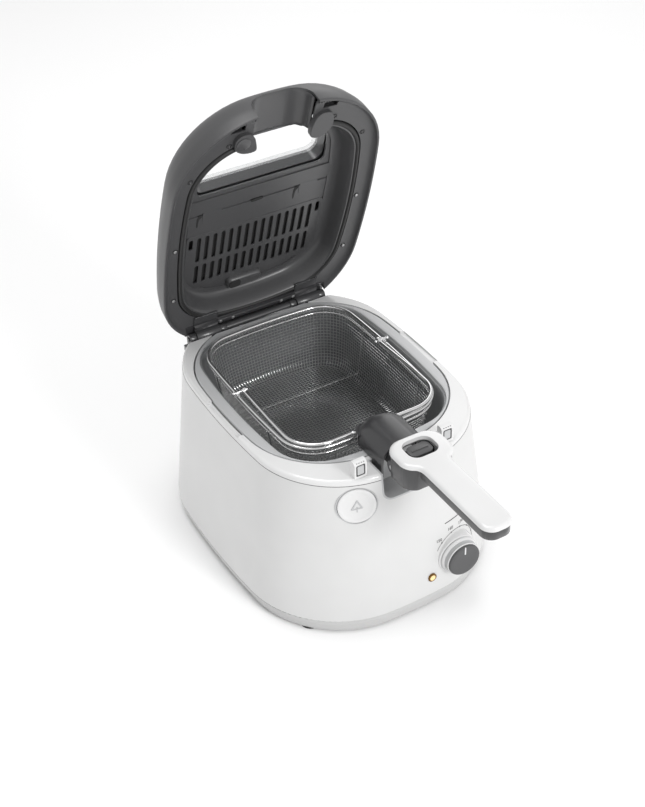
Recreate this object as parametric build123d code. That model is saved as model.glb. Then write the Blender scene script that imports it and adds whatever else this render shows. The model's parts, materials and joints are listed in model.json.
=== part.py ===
"""Compact deep fryer: cool-touch body, hinged lid with window, basket with folding handle.

Frame: millimetres, +Z up, front of the fryer faces -Y, origin on the worktop under the body's centre.
Every piece is built where it stands with the lid closed; the lid's pieces are then swung open.
Heights of the lid's pieces are counted from its rim, and their names end in _w.
"""
import os

from build123d import *

# ---- driving dimensions -------------------------------------------------------------------------
SIDES = {"left": -1, "right": 1}
front_limit = -400.0
rear_limit = 300.0
side_limit = 200.0
height_limit = 400.0

# housing
top_half_x = 121.5
top_half_y = 164.5
seam_half_x = 140.5
seam_half_y = 181.0
foot_half_x = 136.0
foot_half_y = 178.5
bow = 0.10
front_bow = 0.075
corner = 0.80
seam_z = 17.4
shell_top = 181.0
trim_top = 187.0
trim_round = 3.5
wall = 2.5

# base
foot_height = 2.0
foot_radius = 11.0
foot_dish = (6.0, 0.8)
foot_places = {
    "front_left": (-100, -132),
    "front_right": (100, -132),
    "rear_left": (-100, 132),
    "rear_right": (100, 132),
}
pan_wall = 3.0
lip_height = 5.0
lip_gap = 0.3
lip_inner = 2.3
post_radius = 6.0
post_places = [(-62, -83), (-62, 93), (62, -83), (62, 93)]
vent_size = (3.5, 46.0)
vent_pitch = 9.0
vent_side_count = 4
vent_y = 20.0

# inlet bush in the rear wall
gland_x = 45.0
gland_z = 38.0
gland_radius = 7.0
gland_flange = (10.0, 2.5)
gland_bore = 3.6
gland_wall_y = 178.5
gland_depth = 8.0

# ledge, collar and bowl
groove_half_x = 114.8
groove_half_y = 138.8
groove_y = 6.0
groove_gap = 1.2
ledge_thick = 3.0
ledge_overlap = 1.5
ledge_margin = (4.0, 3.0)
collar_thick = 4.0
recess_size = (9.0, 66.0, 6.0)
recess_y = -3.0
bowl_half_x = 101.0
bowl_half_y = 126.5
bowl_y = 5.0
bowl_bow = (0.085, 0.085)
bowl_corner = 0.50
bowl_floor = 64.0
bowl_wall = 2.0
bowl_gap = 0.4
bowl_taper = 12.0
flange_inset = 3.0

# heating tube and thermostat
tube_half_x = 60.0
tube_half_y = 82.0
tube_radius = 4.0
tube_corner = 0.5
shaft_radius = 3.0
thermostat_size = (34.0, 28.0, 18.0)
thermostat_depth = 27.0
bush_radius = 6.5

# hinge and removable bracket
hinge_y = 143.0
hinge_z = 186.0
lid_angle = 70.7
lift_pocket_y = 135.5
deck_z = 170.0
deck_half_x = 95.0
deck_thick = 3.0
tongue_x = (46.0, 70.0)
tongue_y = (139.0, 146.0)
tongue_length = 50.0
socket_gap = 0.4
socket_wall = 2.0
arm_x = (48.0, 76.0)
arm_front = (118.0, 131.0)
knuckle_radius = 7.0
ear_width = 7.6
ear_gap = 0.4
ear_radius = 5.5
bracket_half_x = 88.0
bracket_y = (137.0, 149.0)
bracket_foot = 7.0
apron_half_x = 40.0
apron_y = (136.6, 138.0)
pin_radius = 2.5
running_gap = 0.05
pin_x = (22.0, 85.0)
spring_x = (24.0, 39.0)
spring_radius = 4.6
bar_y = (131.0, 136.0)
bar_low_w = 1.2
arm_low_w = 4.2

# lid skin and the ring inside its rim
rim_z = 187.5
lid_half_x = 119.5
lid_half_y = 165.5
lid_rear_y = 149.0
lid_profile = [(0.0, 0.0), (14.0, 0.8), (28.0, 4.5), (38.0, 11.5), (45.0, 22.0), (50.0, 42.0)]
lid_wall = 2.5
lid_corner = 0.6
frame_w = 6.0
frame_thick = 2.5
frame_inset = 3.6
frame_relief = (90.0, 131.0)
skin_relief = (86.0, 130.0)
relief_w = 9.0
steam_slot = (4.4, 60.0, 92.0)
steam_pitch = 10.0
steam_side_count = 5
arch_half_x = 33.0
arch_height = 30.0
arch_corner = 20.0
arch_back_y = -118.0
arch_reach = 60.0

# tray, seal and window inside the lid
liner_half_x = 95.2
liner_half_y = 125.2
liner_y = 1.0
liner_wall = 2.0
ceiling_w = 30.0
ceiling_thick = 2.0
filter_opening = ((-70, 70), (14, 94))
seal_height = 2.2
seal_grow = (1.5, 6.0)
seal_rear_y = 117.0
window_half_x = 76.0
window_y = (-111.0, -39.0)
window_corner = 14.0
glass_thick = 3.0
bezel_wall = 2.7
bezel_gap = 0.3

# filter cover and mat
filter_half_x = 80.5
filter_y = (8.0, 100.0)
filter_thick = 1.6
filter_corner = 5.0
slot_columns = 15
slot_pitch = 9.4
slot_width = 4.6
slot_rows = ((19, 56.5), (62.3, 91))
short_slot = (19, 34)
tab_x = (-27.0, 15.0)
tab_y = (100.0, 112.0)
tab_depth = 7.0
tab_wall = 4.0
tab_roof = 2.5
mat_size = ((-72, 72), (12, 96))
mat_thick = 7.0

# screws in the lid's ring
screw_places = [(-58, -130), (58, -130), (-96, -96), (96, -96), (-106, -1), (106, -1), (-103, 77), (103, 77)]
screw_radius = 3.0
screw_height = 1.4
cross_half = (2.0, 0.4)
cross_depth = 0.5

# scoop in the front wall
scoop_half_x = 30.0
scoop_floor = 156.0
scoop_back_y = -138.0
scoop_corner = 10.0
scoop_wall = 2.0
scoop_reach = 60.0
scoop_over = 25.0

# front controls
button_x = -57.8
button_z = 157.3
button_radius = 19.5
button_face = 0.8
button_thick = 5.0
button_stem = (5.0, 12.0)
sleeve_wall = 1.6
sleeve_gap = 0.3
sleeve_depth = (-9.0, -1.0)
knob_x = 51.0
knob_z = 54.0
knob_radius = 21.5
cap_radius = 18.6
boss_bore = 8.0
boss_margin = 2.0
boss_depth = 14.0
knob_levels = (0.6, 4.0, 9.0, 12.5)
pointer_size = (1.8, 9.0, 0.6)
lamp_x = 18.4
lamp_z = 38.0
lamp_hole = 3.4
lens_radius = 3.15
bezel_radii = (4.8, 3.2)
cutter_length = 30.0

# latches
latch_x = 50.5
latch_width = 15.0
latch_y = (-161.0, -147.0)
latch_top = 209.0
latch_wall = 2.5
latch_floor = 3.0
bolt_half_x = 4.6
bolt_gap = 0.4
bolt_depth = (0.5, 8.0)
bolt_chamfer = 2.5
pocket_half_x = 9.5
pocket_gap = (1.2, 2.0)
hook_half_x = 6.4
hook_gap = 2.2
hook_thick = 2.0
hook_y = (12.0, 3.5)
tooth_count = 4
tooth_pitch = 3.6
tooth_half_x = 0.9
tooth_size = (2.5, 1.2)

# basket
basket_half_x = 88.5
basket_half_y = 112.5
basket_y = 10.0
basket_bow = (0.045, 0.045)
basket_corner = 0.44
basket_rim_z = 189.0
basket_floor = 124.0
basket_taper = 9.0
tub_wall = 1.4
wire = 1.9
hoop_places = (-45.0, 65.0)
hoop_radius = 1.2
hoop_gap = 0.3
hoop_bend = 1.6

# eyelets and bail
eyelet_y = 22.0
eyelet_wire = 1.5
eyelet_z = basket_rim_z + wire + eyelet_wire
eyelet_inside = 3.0
eyelet_outside = 4.2
bead_radius = 1.9
sleeve_length = 7.0
sleeve_radii = (1.2, 0.2)
bail_inset = 7.0
bail_z = 193.6
bail_loop = (2.4, 2.6)
bail_rise = -40.0
bail_front_gap = 2.5
bail_arm = (24.0, 12.0)
bail_top = (-119.0, 204.0, 203.0)
bail_radii = [30, 34, 5, 5]
hub_half_x = 13.5
hub_radius = 5.0
hub_top = 206.2

# hood
hood_half_x = 27.0
hood_y = (-156.0, -97.0)
hood_top = 212.0
hood_corner = 22.0
hood_wall = 2.4
hood_nose = (-112.0, 198.5)
hood_front_floor = 176.0
trim_gap = 0.4
cheek_x = (15.0, 19.0)
cheek_y = (7.0, -140.0)
cheek_half_z = 8.0
rib_y = -148.0
rib_top = 6.0

# handle
pivot_y = -170.0
pivot_z = 198.0
handle_top = 221.0
cover_thick = 5.0
cover_round = 2.2
ring_y = -184.0
ring_size = (58.0, 46.0)
ring_corner = 17.0
grip_half_x = 16.5
grip_end_y = -315.0
grip_corner = 13.0
neck_fillet = 16.0
shell_inset = 1.2
cup_floor = 191.0
cup_half_x = 24.0
cup_front = 19.0
cup_corner = 12.0
grip_floor = 206.0
grip_start = 21.0
shell_roof = 3.0
shell_front_y = -161.0
channel = ((-12, 12), (-306, -212))
channel_corner = 9.0
window_x = 13.5
window_span = (-190.0, -168.0)
window_round = 8.0
handle_boss = (20.6, 25.0)
pin_half_x = 25.5
slide_size = ((-12.6, 12.6), (-189, -173), (209, 217.5))
slide_corner = 6.0
slide_ridge = ((-9, 9), (-182, -180.5), (217.5, 218.5))


# ---- helpers ------------------------------------------------------------------------------------
def outline(half_x, half_y, z, y=0.0, sag=(bow, front_bow), round_=corner):
    """Soft rectangle of four bowed sides with large round corners."""
    px = half_x * (1 - sag[0])
    py = half_y * (1 - sag[1])
    with BuildSketch(Plane.XY.offset(z)) as face:
        with BuildLine():
            ThreePointArc((px, -py), (half_x, 0), (px, py))
            ThreePointArc((px, py), (0, half_y), (-px, py))
            ThreePointArc((-px, py), (-half_x, 0), (-px, -py))
            ThreePointArc((-px, -py), (0, -half_y), (px, -py))
        make_face()
        fillet(face.vertices(), round_ * half_x)
    return face.sketch.face().moved(Location((0, y, 0)))


def block(x, y, z):
    """Box between two values on each axis."""
    size = [b - a for a, b in (x, y, z)]
    middle = [(a + b) / 2 for a, b in (x, y, z)]
    return Pos(*middle) * Box(*size)


def both(half):
    """Range from one side of the middle plane to the other."""
    return (-half, half)


def sided(side, x):
    """Range on X for a piece on one side, lowest value first."""
    return tuple(sorted((side * x[0], side * x[1])))


def rod_x(x, y, z, radius):
    """Cylinder along X."""
    return Pos((x[0] + x[1]) / 2, y, z) * Rot(0, 90, 0) * Cylinder(radius, x[1] - x[0])


def grown(span, amount):
    """Range widened at both ends."""
    return (span[0] - amount, span[1] + amount)


def rounded_block(x, y, z, radius):
    """Upright block with round vertical corners."""
    size = (x[1] - x[0], y[1] - y[0])
    middle = ((x[0] + x[1]) / 2, (y[0] + y[1]) / 2, z[0])
    return extrude(Pos(*middle) * RectangleRounded(*size, radius), z[1] - z[0])


def disc(radius, z0, z1, hole=0.0):
    """Disc or ring along +Z between two heights."""
    solid = Pos(0, 0, (z0 + z1) / 2) * Cylinder(radius, z1 - z0)
    if hole:
        solid -= Pos(0, 0, (z0 + z1) / 2) * Cylinder(hole, z1 - z0 + 2)
    return solid


def round_wire(path, radius):
    """Round wire along a path."""
    start = Plane(origin=path @ 0, z_dir=path % 0)
    return sweep(start * Circle(radius), path=path)


def mirrored(solid):
    """Copy on the other side of the fryer's middle plane."""
    return mirror(solid, about=Plane.YZ)


def housing_size(z):
    """Half width and half depth of the housing at a height."""
    t = (z - seam_z) / (shell_top - seam_z)
    half_x = seam_half_x + (top_half_x - seam_half_x) * t
    half_y = seam_half_y + (top_half_y - seam_half_y) * t
    return half_x, half_y


def housing_body(z0, z1, inset=0.0):
    """Solid of the housing between two heights, optionally moved inwards."""
    low, high = (housing_size(z) for z in (z0, z1))
    faces = [outline(s[0] - inset, s[1] - inset, z) for s, z in ((low, z0), (high, z1))]
    return loft(faces, ruled=True)


housing = housing_body(seam_z, trim_top)


def front_frame(x, z):
    """Plane on the outside of the front wall, its normal pointing out of the wall."""
    ray = Axis((x, front_limit, z), (0, 1, 0))
    point, normal = min(housing.find_intersection_points(ray), key=lambda hit: hit[0].Y)
    return Plane(origin=point, x_dir=Vector(0, 0, 1).cross(normal), z_dir=normal)


def facing_front(x, y, z):
    """Plane that looks straight forward."""
    return Plane(origin=(x, y, z), x_dir=(1, 0, 0), z_dir=(0, -1, 0))


button_plane = front_frame(button_x, button_z)
knob_seat = front_frame(knob_x - knob_radius, knob_z - 8).origin.Y - 0.8
knob_plane = facing_front(knob_x, knob_seat, knob_z)
lamp_plane = facing_front(lamp_x, front_frame(lamp_x, lamp_z).origin.Y, lamp_z)


def on(plane, solid):
    """Place a solid made round +Z on a plane."""
    return plane.location * solid


def lift_pocket(z0, z1):
    """Space behind the bowl that the lid bracket is lifted out of."""
    return block(both(deck_half_x), (lift_pocket_y, side_limit), (z0, z1))


# ---- housing ------------------------------------------------------------------------------------
def scoop_form(grow=0.0):
    """Pocket shape of the scoop: flat back, round lower corners, open to the front and top."""
    low = scoop_floor - grow
    height = trim_top + scoop_over - low
    size = (2 * (scoop_half_x + grow), height)
    face = Plane.XZ * Pos(0, low + height / 2) * RectangleRounded(*size, scoop_corner + grow)
    return Pos(0, scoop_back_y + grow, 0) * extrude(face, scoop_reach)


def outer_shell():
    solid = housing_body(seam_z, shell_top) - housing_body(seam_z, shell_top, wall)
    solid -= scoop_form(scoop_wall)
    solid -= lift_pocket(deck_z, trim_top)
    solid -= on(button_plane, Cylinder(button_radius + sleeve_wall, cutter_length))
    solid -= on(knob_plane, Cylinder(boss_bore, cutter_length))
    solid -= on(lamp_plane, Cylinder(lamp_hole, cutter_length))
    gland = Pos(gland_x, gland_wall_y, gland_z) * Rot(90, 0, 0)
    solid -= gland * Cylinder(gland_radius, 2 * cutter_length)
    return solid


def top_trim():
    """Glossy ring on top of the shell, with the ledge that carries the bowl and collar."""
    solid = housing_body(shell_top, trim_top)
    solid = fillet(solid.edges().group_by(Axis.Z)[-1], trim_round)
    groove = outline(groove_half_x, groove_half_y, shell_top, groove_y)
    solid -= extrude(groove, trim_top + 1 - shell_top)
    ledge_size = (groove_half_x + ledge_overlap, groove_half_y + ledge_overlap)
    ledge = extrude(outline(*ledge_size, shell_top - ledge_thick, groove_y), ledge_thick)
    hole_size = (bowl_half_x + ledge_margin[0], bowl_half_y + ledge_margin[1])
    hole = outline(*hole_size, shell_top - ledge_thick - 1, bowl_y, bowl_bow, bowl_corner)
    solid += ledge - extrude(hole, 2 * ledge_thick)
    for side in SIDES.values():
        solid -= Pos(side * (groove_half_x + 0.5), recess_y, trim_top) * Box(*recess_size)
    solid -= scoop_form(scoop_wall)
    solid -= lift_pocket(deck_z, trim_top + 1)
    return solid


def scoop_liner():
    """Light pocket in the front wall that the folded handle hub drops into."""
    return (scoop_form(scoop_wall) - scoop_form()) & housing_body(scoop_floor - scoop_wall - 8, trim_top)


def bowl_collar():
    """Light flange round the bowl's mouth."""
    low = trim_top - collar_thick
    size = (groove_half_x - groove_gap, groove_half_y - groove_gap)
    solid = extrude(outline(*size, low, groove_y), collar_thick)
    mouth = outline(bowl_half_x, bowl_half_y, low - 1, bowl_y, bowl_bow, bowl_corner)
    solid -= extrude(mouth, collar_thick + 2)
    solid -= lift_pocket(shell_top, trim_top + 1)
    front = (-side_limit, scoop_back_y + scoop_wall)
    solid -= block(both(scoop_half_x + scoop_wall), front, (shell_top, trim_top + 1))
    return solid


def bowl_form(inset, floor):
    """Tapering solid of the bowl."""
    faces = []
    for z, taper in ((floor, bowl_taper), (trim_top - collar_thick, 0.0)):
        size = (bowl_half_x - taper - inset, bowl_half_y - taper - inset)
        faces.append(outline(*size, z, bowl_y, bowl_bow, bowl_corner))
    return loft(faces, ruled=True)


def oil_bowl():
    solid = bowl_form(bowl_gap, bowl_floor - bowl_wall)
    size = (groove_half_x - flange_inset, groove_half_y - flange_inset)
    flange = extrude(outline(*size, shell_top, groove_y), bowl_wall)
    flange -= lift_pocket(shell_top - 1, trim_top)
    front = (-side_limit, scoop_back_y + scoop_wall)
    flange -= block(both(scoop_half_x + 2 * scoop_wall), front, (shell_top - 1, trim_top))
    solid += flange
    solid -= bowl_form(bowl_gap + bowl_wall, bowl_floor)
    return solid


def base_pan():
    """Closed floor of the fryer with the lower band, posts under the bowl and air slots."""
    low = outline(foot_half_x, foot_half_y, foot_height)
    high = outline(seam_half_x, seam_half_y, seam_z)
    solid = loft([low, high], ruled=True)
    low = outline(foot_half_x - pan_wall, foot_half_y - pan_wall, foot_height + pan_wall)
    high = outline(seam_half_x - pan_wall, seam_half_y - pan_wall, seam_z + 1)
    solid -= loft([low, high], ruled=True)
    inner = wall + lip_inner
    lip = housing_body(seam_z, seam_z + lip_height, wall + lip_gap)
    solid += lip - housing_body(seam_z - 1, seam_z + lip_height + 1, inner)
    collar = housing_body(seam_z - lip_height, seam_z, 1.0)
    solid += collar - housing_body(seam_z - lip_height - 1, seam_z + 1, inner)
    for x, y in post_places:
        solid += Pos(x, y, 0) * disc(post_radius, foot_height + 1, bowl_floor - bowl_wall)
    for column in range(-vent_side_count, vent_side_count + 1):
        solid -= Pos(column * vent_pitch, vent_y, foot_height) * Box(*vent_size, 2 * vent_pitch)
    return solid


def foot(x, y):
    """Rubber foot with a shallow dish underneath."""
    return Pos(x, y, 0) * (disc(foot_radius, 0, foot_height) - disc(foot_dish[0], -1, foot_dish[1]))


def tongue_box(side, gap, z):
    """Box of a bracket tongue, grown by a gap."""
    return grown(sided(side, tongue_x), gap), grown(tongue_y, gap), z


def rear_deck():
    """Low deck behind the bowl that the lid bracket stands on."""
    solid = housing_body(deck_z - deck_thick, deck_z, wall)
    solid &= block(both(deck_half_x), (lift_pocket_y + 0.5, side_limit), (0, rear_limit))
    for side in SIDES.values():
        solid -= block(*tongue_box(side, socket_gap, (0, rear_limit)))
    return solid


def bracket_socket(side):
    """Pocket under the deck that holds one tongue of the lid bracket."""
    floor = deck_z - tongue_length - socket_wall
    pocket = tongue_box(side, socket_gap, (floor, deck_z + 1))
    outer = [grown(span, socket_wall) for span in pocket[:2]]
    return block(*outer, (floor - socket_wall, deck_z - deck_thick)) - block(*pocket)


def cord_gland():
    """Inlet bush in the rear wall."""
    radius, thick = gland_flange
    bush = disc(gland_radius - 0.1, -gland_depth, thick) + disc(radius, thick, 2 * thick)
    bush -= Cylinder(gland_bore, 2 * cutter_length)
    return Pos(gland_x, gland_wall_y, gland_z) * Rot(-90, 0, 0) * bush


def heating_element():
    """Round heating tube in a loop under the bowl floor."""
    z = bowl_floor - bowl_wall - tube_radius - 0.1
    path = outline(tube_half_x, tube_half_y, z, bowl_y, basket_bow, tube_corner).outer_wire()
    return round_wire(path, tube_radius)


def thermostat_body():
    depth, length = thermostat_depth, thermostat_size[2]
    box = on(knob_plane, Pos(0, 0, -depth) * Box(*thermostat_size))
    return box + on(knob_plane, disc(bush_radius, length / 2 - depth, -6, shaft_radius + running_gap))


# ---- front controls -----------------------------------------------------------------------------
def button_guide():
    """Sleeve in the wall that the lid button slides in."""
    return on(button_plane, disc(button_radius + sleeve_wall, *sleeve_depth, button_radius + sleeve_gap))


def lid_button():
    """Shallow round button with a stem behind it."""
    radius, depth = button_stem
    solid = disc(button_radius, -button_thick, button_face) + disc(radius, -depth, -button_thick)
    return on(button_plane, solid)


def dial_boss():
    """Flat round seat for the knob on the curved wall."""
    return on(knob_plane, disc(knob_radius + boss_margin, -boss_depth, 0.0, boss_bore)) - housing


def knob_skirt():
    low, step, high = knob_levels[:3]
    ring = disc(knob_radius, low, step, shaft_radius)
    ring += disc(cap_radius + 1.0, step, high, shaft_radius)
    return on(knob_plane, ring)


def knob_cap():
    return on(knob_plane, disc(cap_radius, *knob_levels[2:]))


def knob_pointer():
    z = knob_levels[3] + pointer_size[2] / 2
    return on(knob_plane, Pos(0, cap_radius - 5.5, z) * Box(*pointer_size))


def thermostat_shaft():
    inner_end = thermostat_size[2] / 2 - thermostat_depth + 0.5
    return on(knob_plane, disc(shaft_radius, inner_end, knob_levels[2]))


def lamp_bezel():
    return on(lamp_plane, disc(bezel_radii[0], -0.4, 1.4, bezel_radii[1])) - housing


def lamp_lens():
    return on(lamp_plane, disc(lens_radius, -6, 1.8))


def latch_housing(side):
    """Square post beside the scoop, open to the front."""
    x = sided(side, (latch_x - latch_width / 2, latch_x + latch_width / 2))
    solid = rounded_block(x, latch_y, (trim_top, latch_top), latch_wall)
    y = (latch_y[0] - 5, latch_y[1] - 1.5)
    return solid - block(grown(x, -latch_wall), y, (trim_top + latch_floor, latch_top - latch_floor))


def latch_bolt(side):
    """Sliding catch inside the post."""
    x = sided(side, (latch_x - bolt_half_x, latch_x + bolt_half_x))
    y = (latch_y[0] + bolt_depth[0], latch_y[0] + bolt_depth[1])
    inset = latch_floor + bolt_gap
    solid = block(x, y, (trim_top + inset, latch_top - inset))
    upper_front = solid.edges().filter_by(Axis.X).sort_by(Axis.Y)[:2].sort_by(Axis.Z)[-1]
    return chamfer(upper_front, bolt_chamfer)


# ---- lid ----------------------------------------------------------------------------------------
def dome(inset, drop):
    """Dome of the lid: soft rectangles that shrink towards the top."""
    faces = []
    for w, shrink in lid_profile:
        faces.append(outline(lid_half_x - shrink - inset, lid_half_y - shrink - inset, rim_z + w - drop))
    return loft(faces)


def liner_plan(grow, z):
    """Plan of the lid's inner opening, grown by an amount."""
    return outline(liner_half_x + grow, liner_half_y + grow, z, liner_y, bowl_bow, lid_corner)


def arch_cut(extra=0.0):
    """Opening in the lid's front for the basket hood."""
    height = arch_height + extra + arch_corner
    size = (2 * (arch_half_x + extra), height)
    face = Plane.XZ * Pos(0, rim_z + arch_height + extra - height / 2) * RectangleRounded(*size, arch_corner)
    return Pos(0, arch_back_y, 0) * extrude(face, arch_reach)


def pocket_cut(side, grow=0.0):
    """Opening in the lid's front for one latch post."""
    x = grown(sided(side, (latch_x - pocket_half_x, latch_x + pocket_half_x)), grow)
    y = (-side_limit, latch_y[1] + pocket_gap[0] + grow)
    return block(x, y, (rim_z - 10, latch_top + pocket_gap[1] + grow))


def front_cuts(solid):
    """Cut the arch and both latch pockets out of a lid piece."""
    solid -= arch_cut()
    for side in SIDES.values():
        solid -= pocket_cut(side)
    return solid


def hinge_relief(size):
    """Room for the hinge at the rear of the lid's rim, from a half width and a front edge."""
    return block(both(size[0]), (size[1], side_limit), (0, rim_z + relief_w))


def behind(y):
    """Everything of the lid behind a value on Y."""
    return block(both(side_limit), (y, rear_limit), (0, height_limit))


def window_cut(grow, z0, z1):
    """Window opening between two heights, grown by an amount."""
    return rounded_block(both(window_half_x + grow), grown(window_y, grow), (z0, z1), window_corner + grow)


def lid_shell():
    solid = dome(0, 0) - dome(lid_wall, lid_wall) - behind(lid_rear_y)
    solid = front_cuts(solid) - hinge_relief(skin_relief)
    top = lid_profile[-1][0]
    solid -= window_cut(0, rim_z + ceiling_w, rim_z + 2 * top)
    width, y0, y1 = steam_slot
    for column in range(-steam_side_count, steam_side_count + 1):
        x = grown((column * steam_pitch, column * steam_pitch), width / 2)
        solid -= rounded_block(x, (y0, y1), (rim_z + ceiling_w, rim_z + 2 * top), width / 2 - 0.1)
    return solid


def lid_frame():
    """Flat ring inside the lid's rim that carries the seal, screws and hinge arms."""
    z = rim_z + frame_w
    solid = extrude(outline(lid_half_x - frame_inset, lid_half_y - frame_inset, z), frame_thick)
    solid -= extrude(liner_plan(0.0, z - 1), 2 * frame_thick)
    solid -= behind(lid_rear_y - 3)
    return front_cuts(solid) - hinge_relief(frame_relief)


def lid_liner():
    """Inner tray of the lid: side walls and a flat ceiling with openings for window and filter."""
    z0 = rim_z + frame_w + frame_thick
    z1 = rim_z + ceiling_w + ceiling_thick
    height = z1 - z0
    solid = extrude(liner_plan(liner_wall, z0), height) - extrude(liner_plan(0.0, z0 - 1), height - 1)
    solid -= window_cut(-3, z0, z1 + 5)
    solid -= rounded_block(*filter_opening, (z0, z1 + 5), 6)
    solid -= block(both(arch_half_x), (-side_limit, window_y[0] + 8), (0, z1 - ceiling_thick - 0.2))
    return solid


def lid_seal():
    """Soft bead on the frame round the inner opening."""
    z = rim_z + frame_w - seal_height
    inner, outer = seal_grow
    solid = extrude(liner_plan(outer, z), seal_height) - extrude(liner_plan(inner, z - 1), 2 * seal_height)
    solid -= arch_cut(2.0)
    solid -= block(both(frame_relief[0]), (seal_rear_y, side_limit), (0, height_limit))
    for side in SIDES.values():
        solid -= pocket_cut(side, 1.0)
    return solid


def window_glass():
    z = rim_z + ceiling_w + ceiling_thick
    return window_cut(1.0, z, z + glass_thick)


def window_bezel():
    """Upright frame from the glass to the lid's skin."""
    z = rim_z + ceiling_w + ceiling_thick + glass_thick
    top = rim_z + 2 * lid_profile[-1][0]
    solid = window_cut(-bezel_gap, z, top) - window_cut(-bezel_gap - bezel_wall, z - 1, top + 1)
    return solid & dome(0, 0)


def filter_cover():
    """Slotted plate over the filter, two rows of long slots and a short slot at each end."""
    z = rim_z + ceiling_w - filter_thick
    top = z + filter_thick
    solid = rounded_block(both(filter_half_x), filter_y, (z, top), filter_corner)
    half_row = (slot_columns - 1) / 2
    slots = [((column - half_row) * slot_pitch, row) for row in slot_rows for column in range(slot_columns)]
    slots += [(side * (half_row + 1) * slot_pitch, short_slot) for side in SIDES.values()]
    for x, row in slots:
        slot = grown((x, x), slot_width / 2)
        solid -= rounded_block(slot, row, (z - 1, top + 1), slot_width / 2 - 0.01)
    solid += rounded_block(tab_x, tab_y, (z - tab_depth, top), tab_wall)
    hollow_y = (tab_y[0] + tab_roof, tab_y[1] + 2)
    return solid - rounded_block(grown(tab_x, -tab_wall), hollow_y, (z - tab_depth - 2, z - 1), 2)


def filter_mat():
    z = rim_z + ceiling_w + ceiling_thick
    return rounded_block(*mat_size, (z, z + mat_thick), filter_corner)


def lid_hook(side):
    """Striker in the lid over one latch post, with a row of small teeth in front."""
    top = latch_top + hook_gap
    front = latch_y[0] + hook_y[0]
    back = latch_y[1] + hook_y[1]
    x = sided(side, (latch_x - hook_half_x, latch_x + hook_half_x))
    solid = block(x, (front, back), (top, top + hook_thick))
    solid += block(x, (back - hook_thick, back), (rim_z + frame_w + frame_thick, top + hook_thick))
    for tooth in range(tooth_count):
        middle = side * latch_x + (tooth - (tooth_count - 1) / 2) * tooth_pitch
        y = (front, front + tooth_size[0])
        solid += block(grown((middle, middle), tooth_half_x), y, (top - tooth_size[1], top))
    return solid


def hinge_arm(side):
    """Dark knuckle and neck that carry the lid on its pin."""
    x = sided(side, arm_x)
    solid = rod_x(x, hinge_y, hinge_z, knuckle_radius)
    solid += block(x, (bar_y[0], hinge_y), (rim_z + bar_low_w, hinge_z + knuckle_radius))
    solid += block(x, arm_front, (rim_z + arm_low_w, rim_z + frame_w))
    return solid - rod_x(grown(x, 1), hinge_y, hinge_z, pin_radius + running_gap)


def hinge_bar():
    """Straight dark bar between the hinge arms."""
    return block(both(arm_x[0]), bar_y, (rim_z + bar_low_w, rim_z + frame_w + frame_thick))


def lid_bracket():
    """Removable bracket: cross bar, four ears round the lid arms and two tongues."""
    solid = block(both(bracket_half_x), bracket_y, (deck_z, deck_z + bracket_foot))
    solid += block(both(apron_half_x), apron_y, (deck_z, hinge_z + 1.0))
    inner_ear = (arm_x[0] - ear_gap - ear_width, arm_x[0] - ear_gap)
    outer_ear = (arm_x[1] + ear_gap, arm_x[1] + ear_gap + ear_width)
    for side in SIDES.values():
        for ear in (inner_ear, outer_ear):
            x = sided(side, ear)
            solid += block(x, grown(bracket_y, -0.5), (deck_z + bracket_foot, hinge_z))
            solid += rod_x(x, hinge_y, hinge_z, ear_radius)
        solid += block(*tongue_box(side, 0.0, (deck_z - tongue_length, deck_z + 1)))
    for side in SIDES.values():
        solid -= rod_x(sided(side, (30, 90)), hinge_y, hinge_z, pin_radius)
    return solid


def hinge_pin(side):
    return rod_x(sided(side, pin_x), hinge_y, hinge_z, pin_radius)


def torsion_spring(side):
    """Coil round the inner end of the pin, as a plain sleeve."""
    x = sided(side, spring_x)
    bore = rod_x(grown(x, 1), hinge_y, hinge_z, pin_radius + socket_gap)
    return rod_x(x, hinge_y, hinge_z, spring_radius) - bore


def lid_screw(x, y):
    """Cross-head screw in the frame, head down."""
    z = rim_z + frame_w
    low = z - screw_height
    long_half, thin_half = cross_half
    depth = (low - 1, low + cross_depth)
    slots = block(both(long_half), both(thin_half), depth) + block(both(thin_half), both(long_half), depth)
    return Pos(x, y, 0) * (disc(screw_radius, low, z) - slots)


def opened(solid):
    """Swing a closed piece of the lid to the open stop."""
    return solid.rotate(Axis((0, hinge_y, hinge_z), (1, 0, 0)), -lid_angle)


# ---- basket -------------------------------------------------------------------------------------
def tub_plan(inset, z):
    """Plan of the basket at a height, moved inwards by an amount."""
    return outline(basket_half_x - inset, basket_half_y - inset, z, basket_y, basket_bow, basket_corner)


def basket_mesh():
    """Thin tub with the basket's outer shape, open at the top."""
    outer = loft([tub_plan(basket_taper, basket_floor), tub_plan(0, basket_rim_z - wire)], ruled=True)
    low = tub_plan(basket_taper + tub_wall, basket_floor + tub_wall)
    return outer - loft([low, tub_plan(tub_wall, basket_rim_z)], ruled=True)


def basket_rim():
    return round_wire(tub_plan(0, basket_rim_z).outer_wire(), wire)


def basket_hoops():
    """Stiffening wires under the tub, from rim to rim."""
    out = hoop_radius + hoop_gap
    x_top = basket_half_x + out
    x_low = basket_half_x - basket_taper + out
    z_low = basket_floor - out
    z_top = basket_rim_z - wire - hoop_gap
    hoops = []
    for y in hoop_places:
        points = [(-x_top, y, z_top), (-x_low, y, z_low), (x_low, y, z_low), (x_top, y, z_top)]
        hoops.append(round_wire(FilletPolyline(*points, radius=hoop_bend), hoop_radius))
    return Compound(children=hoops)


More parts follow.
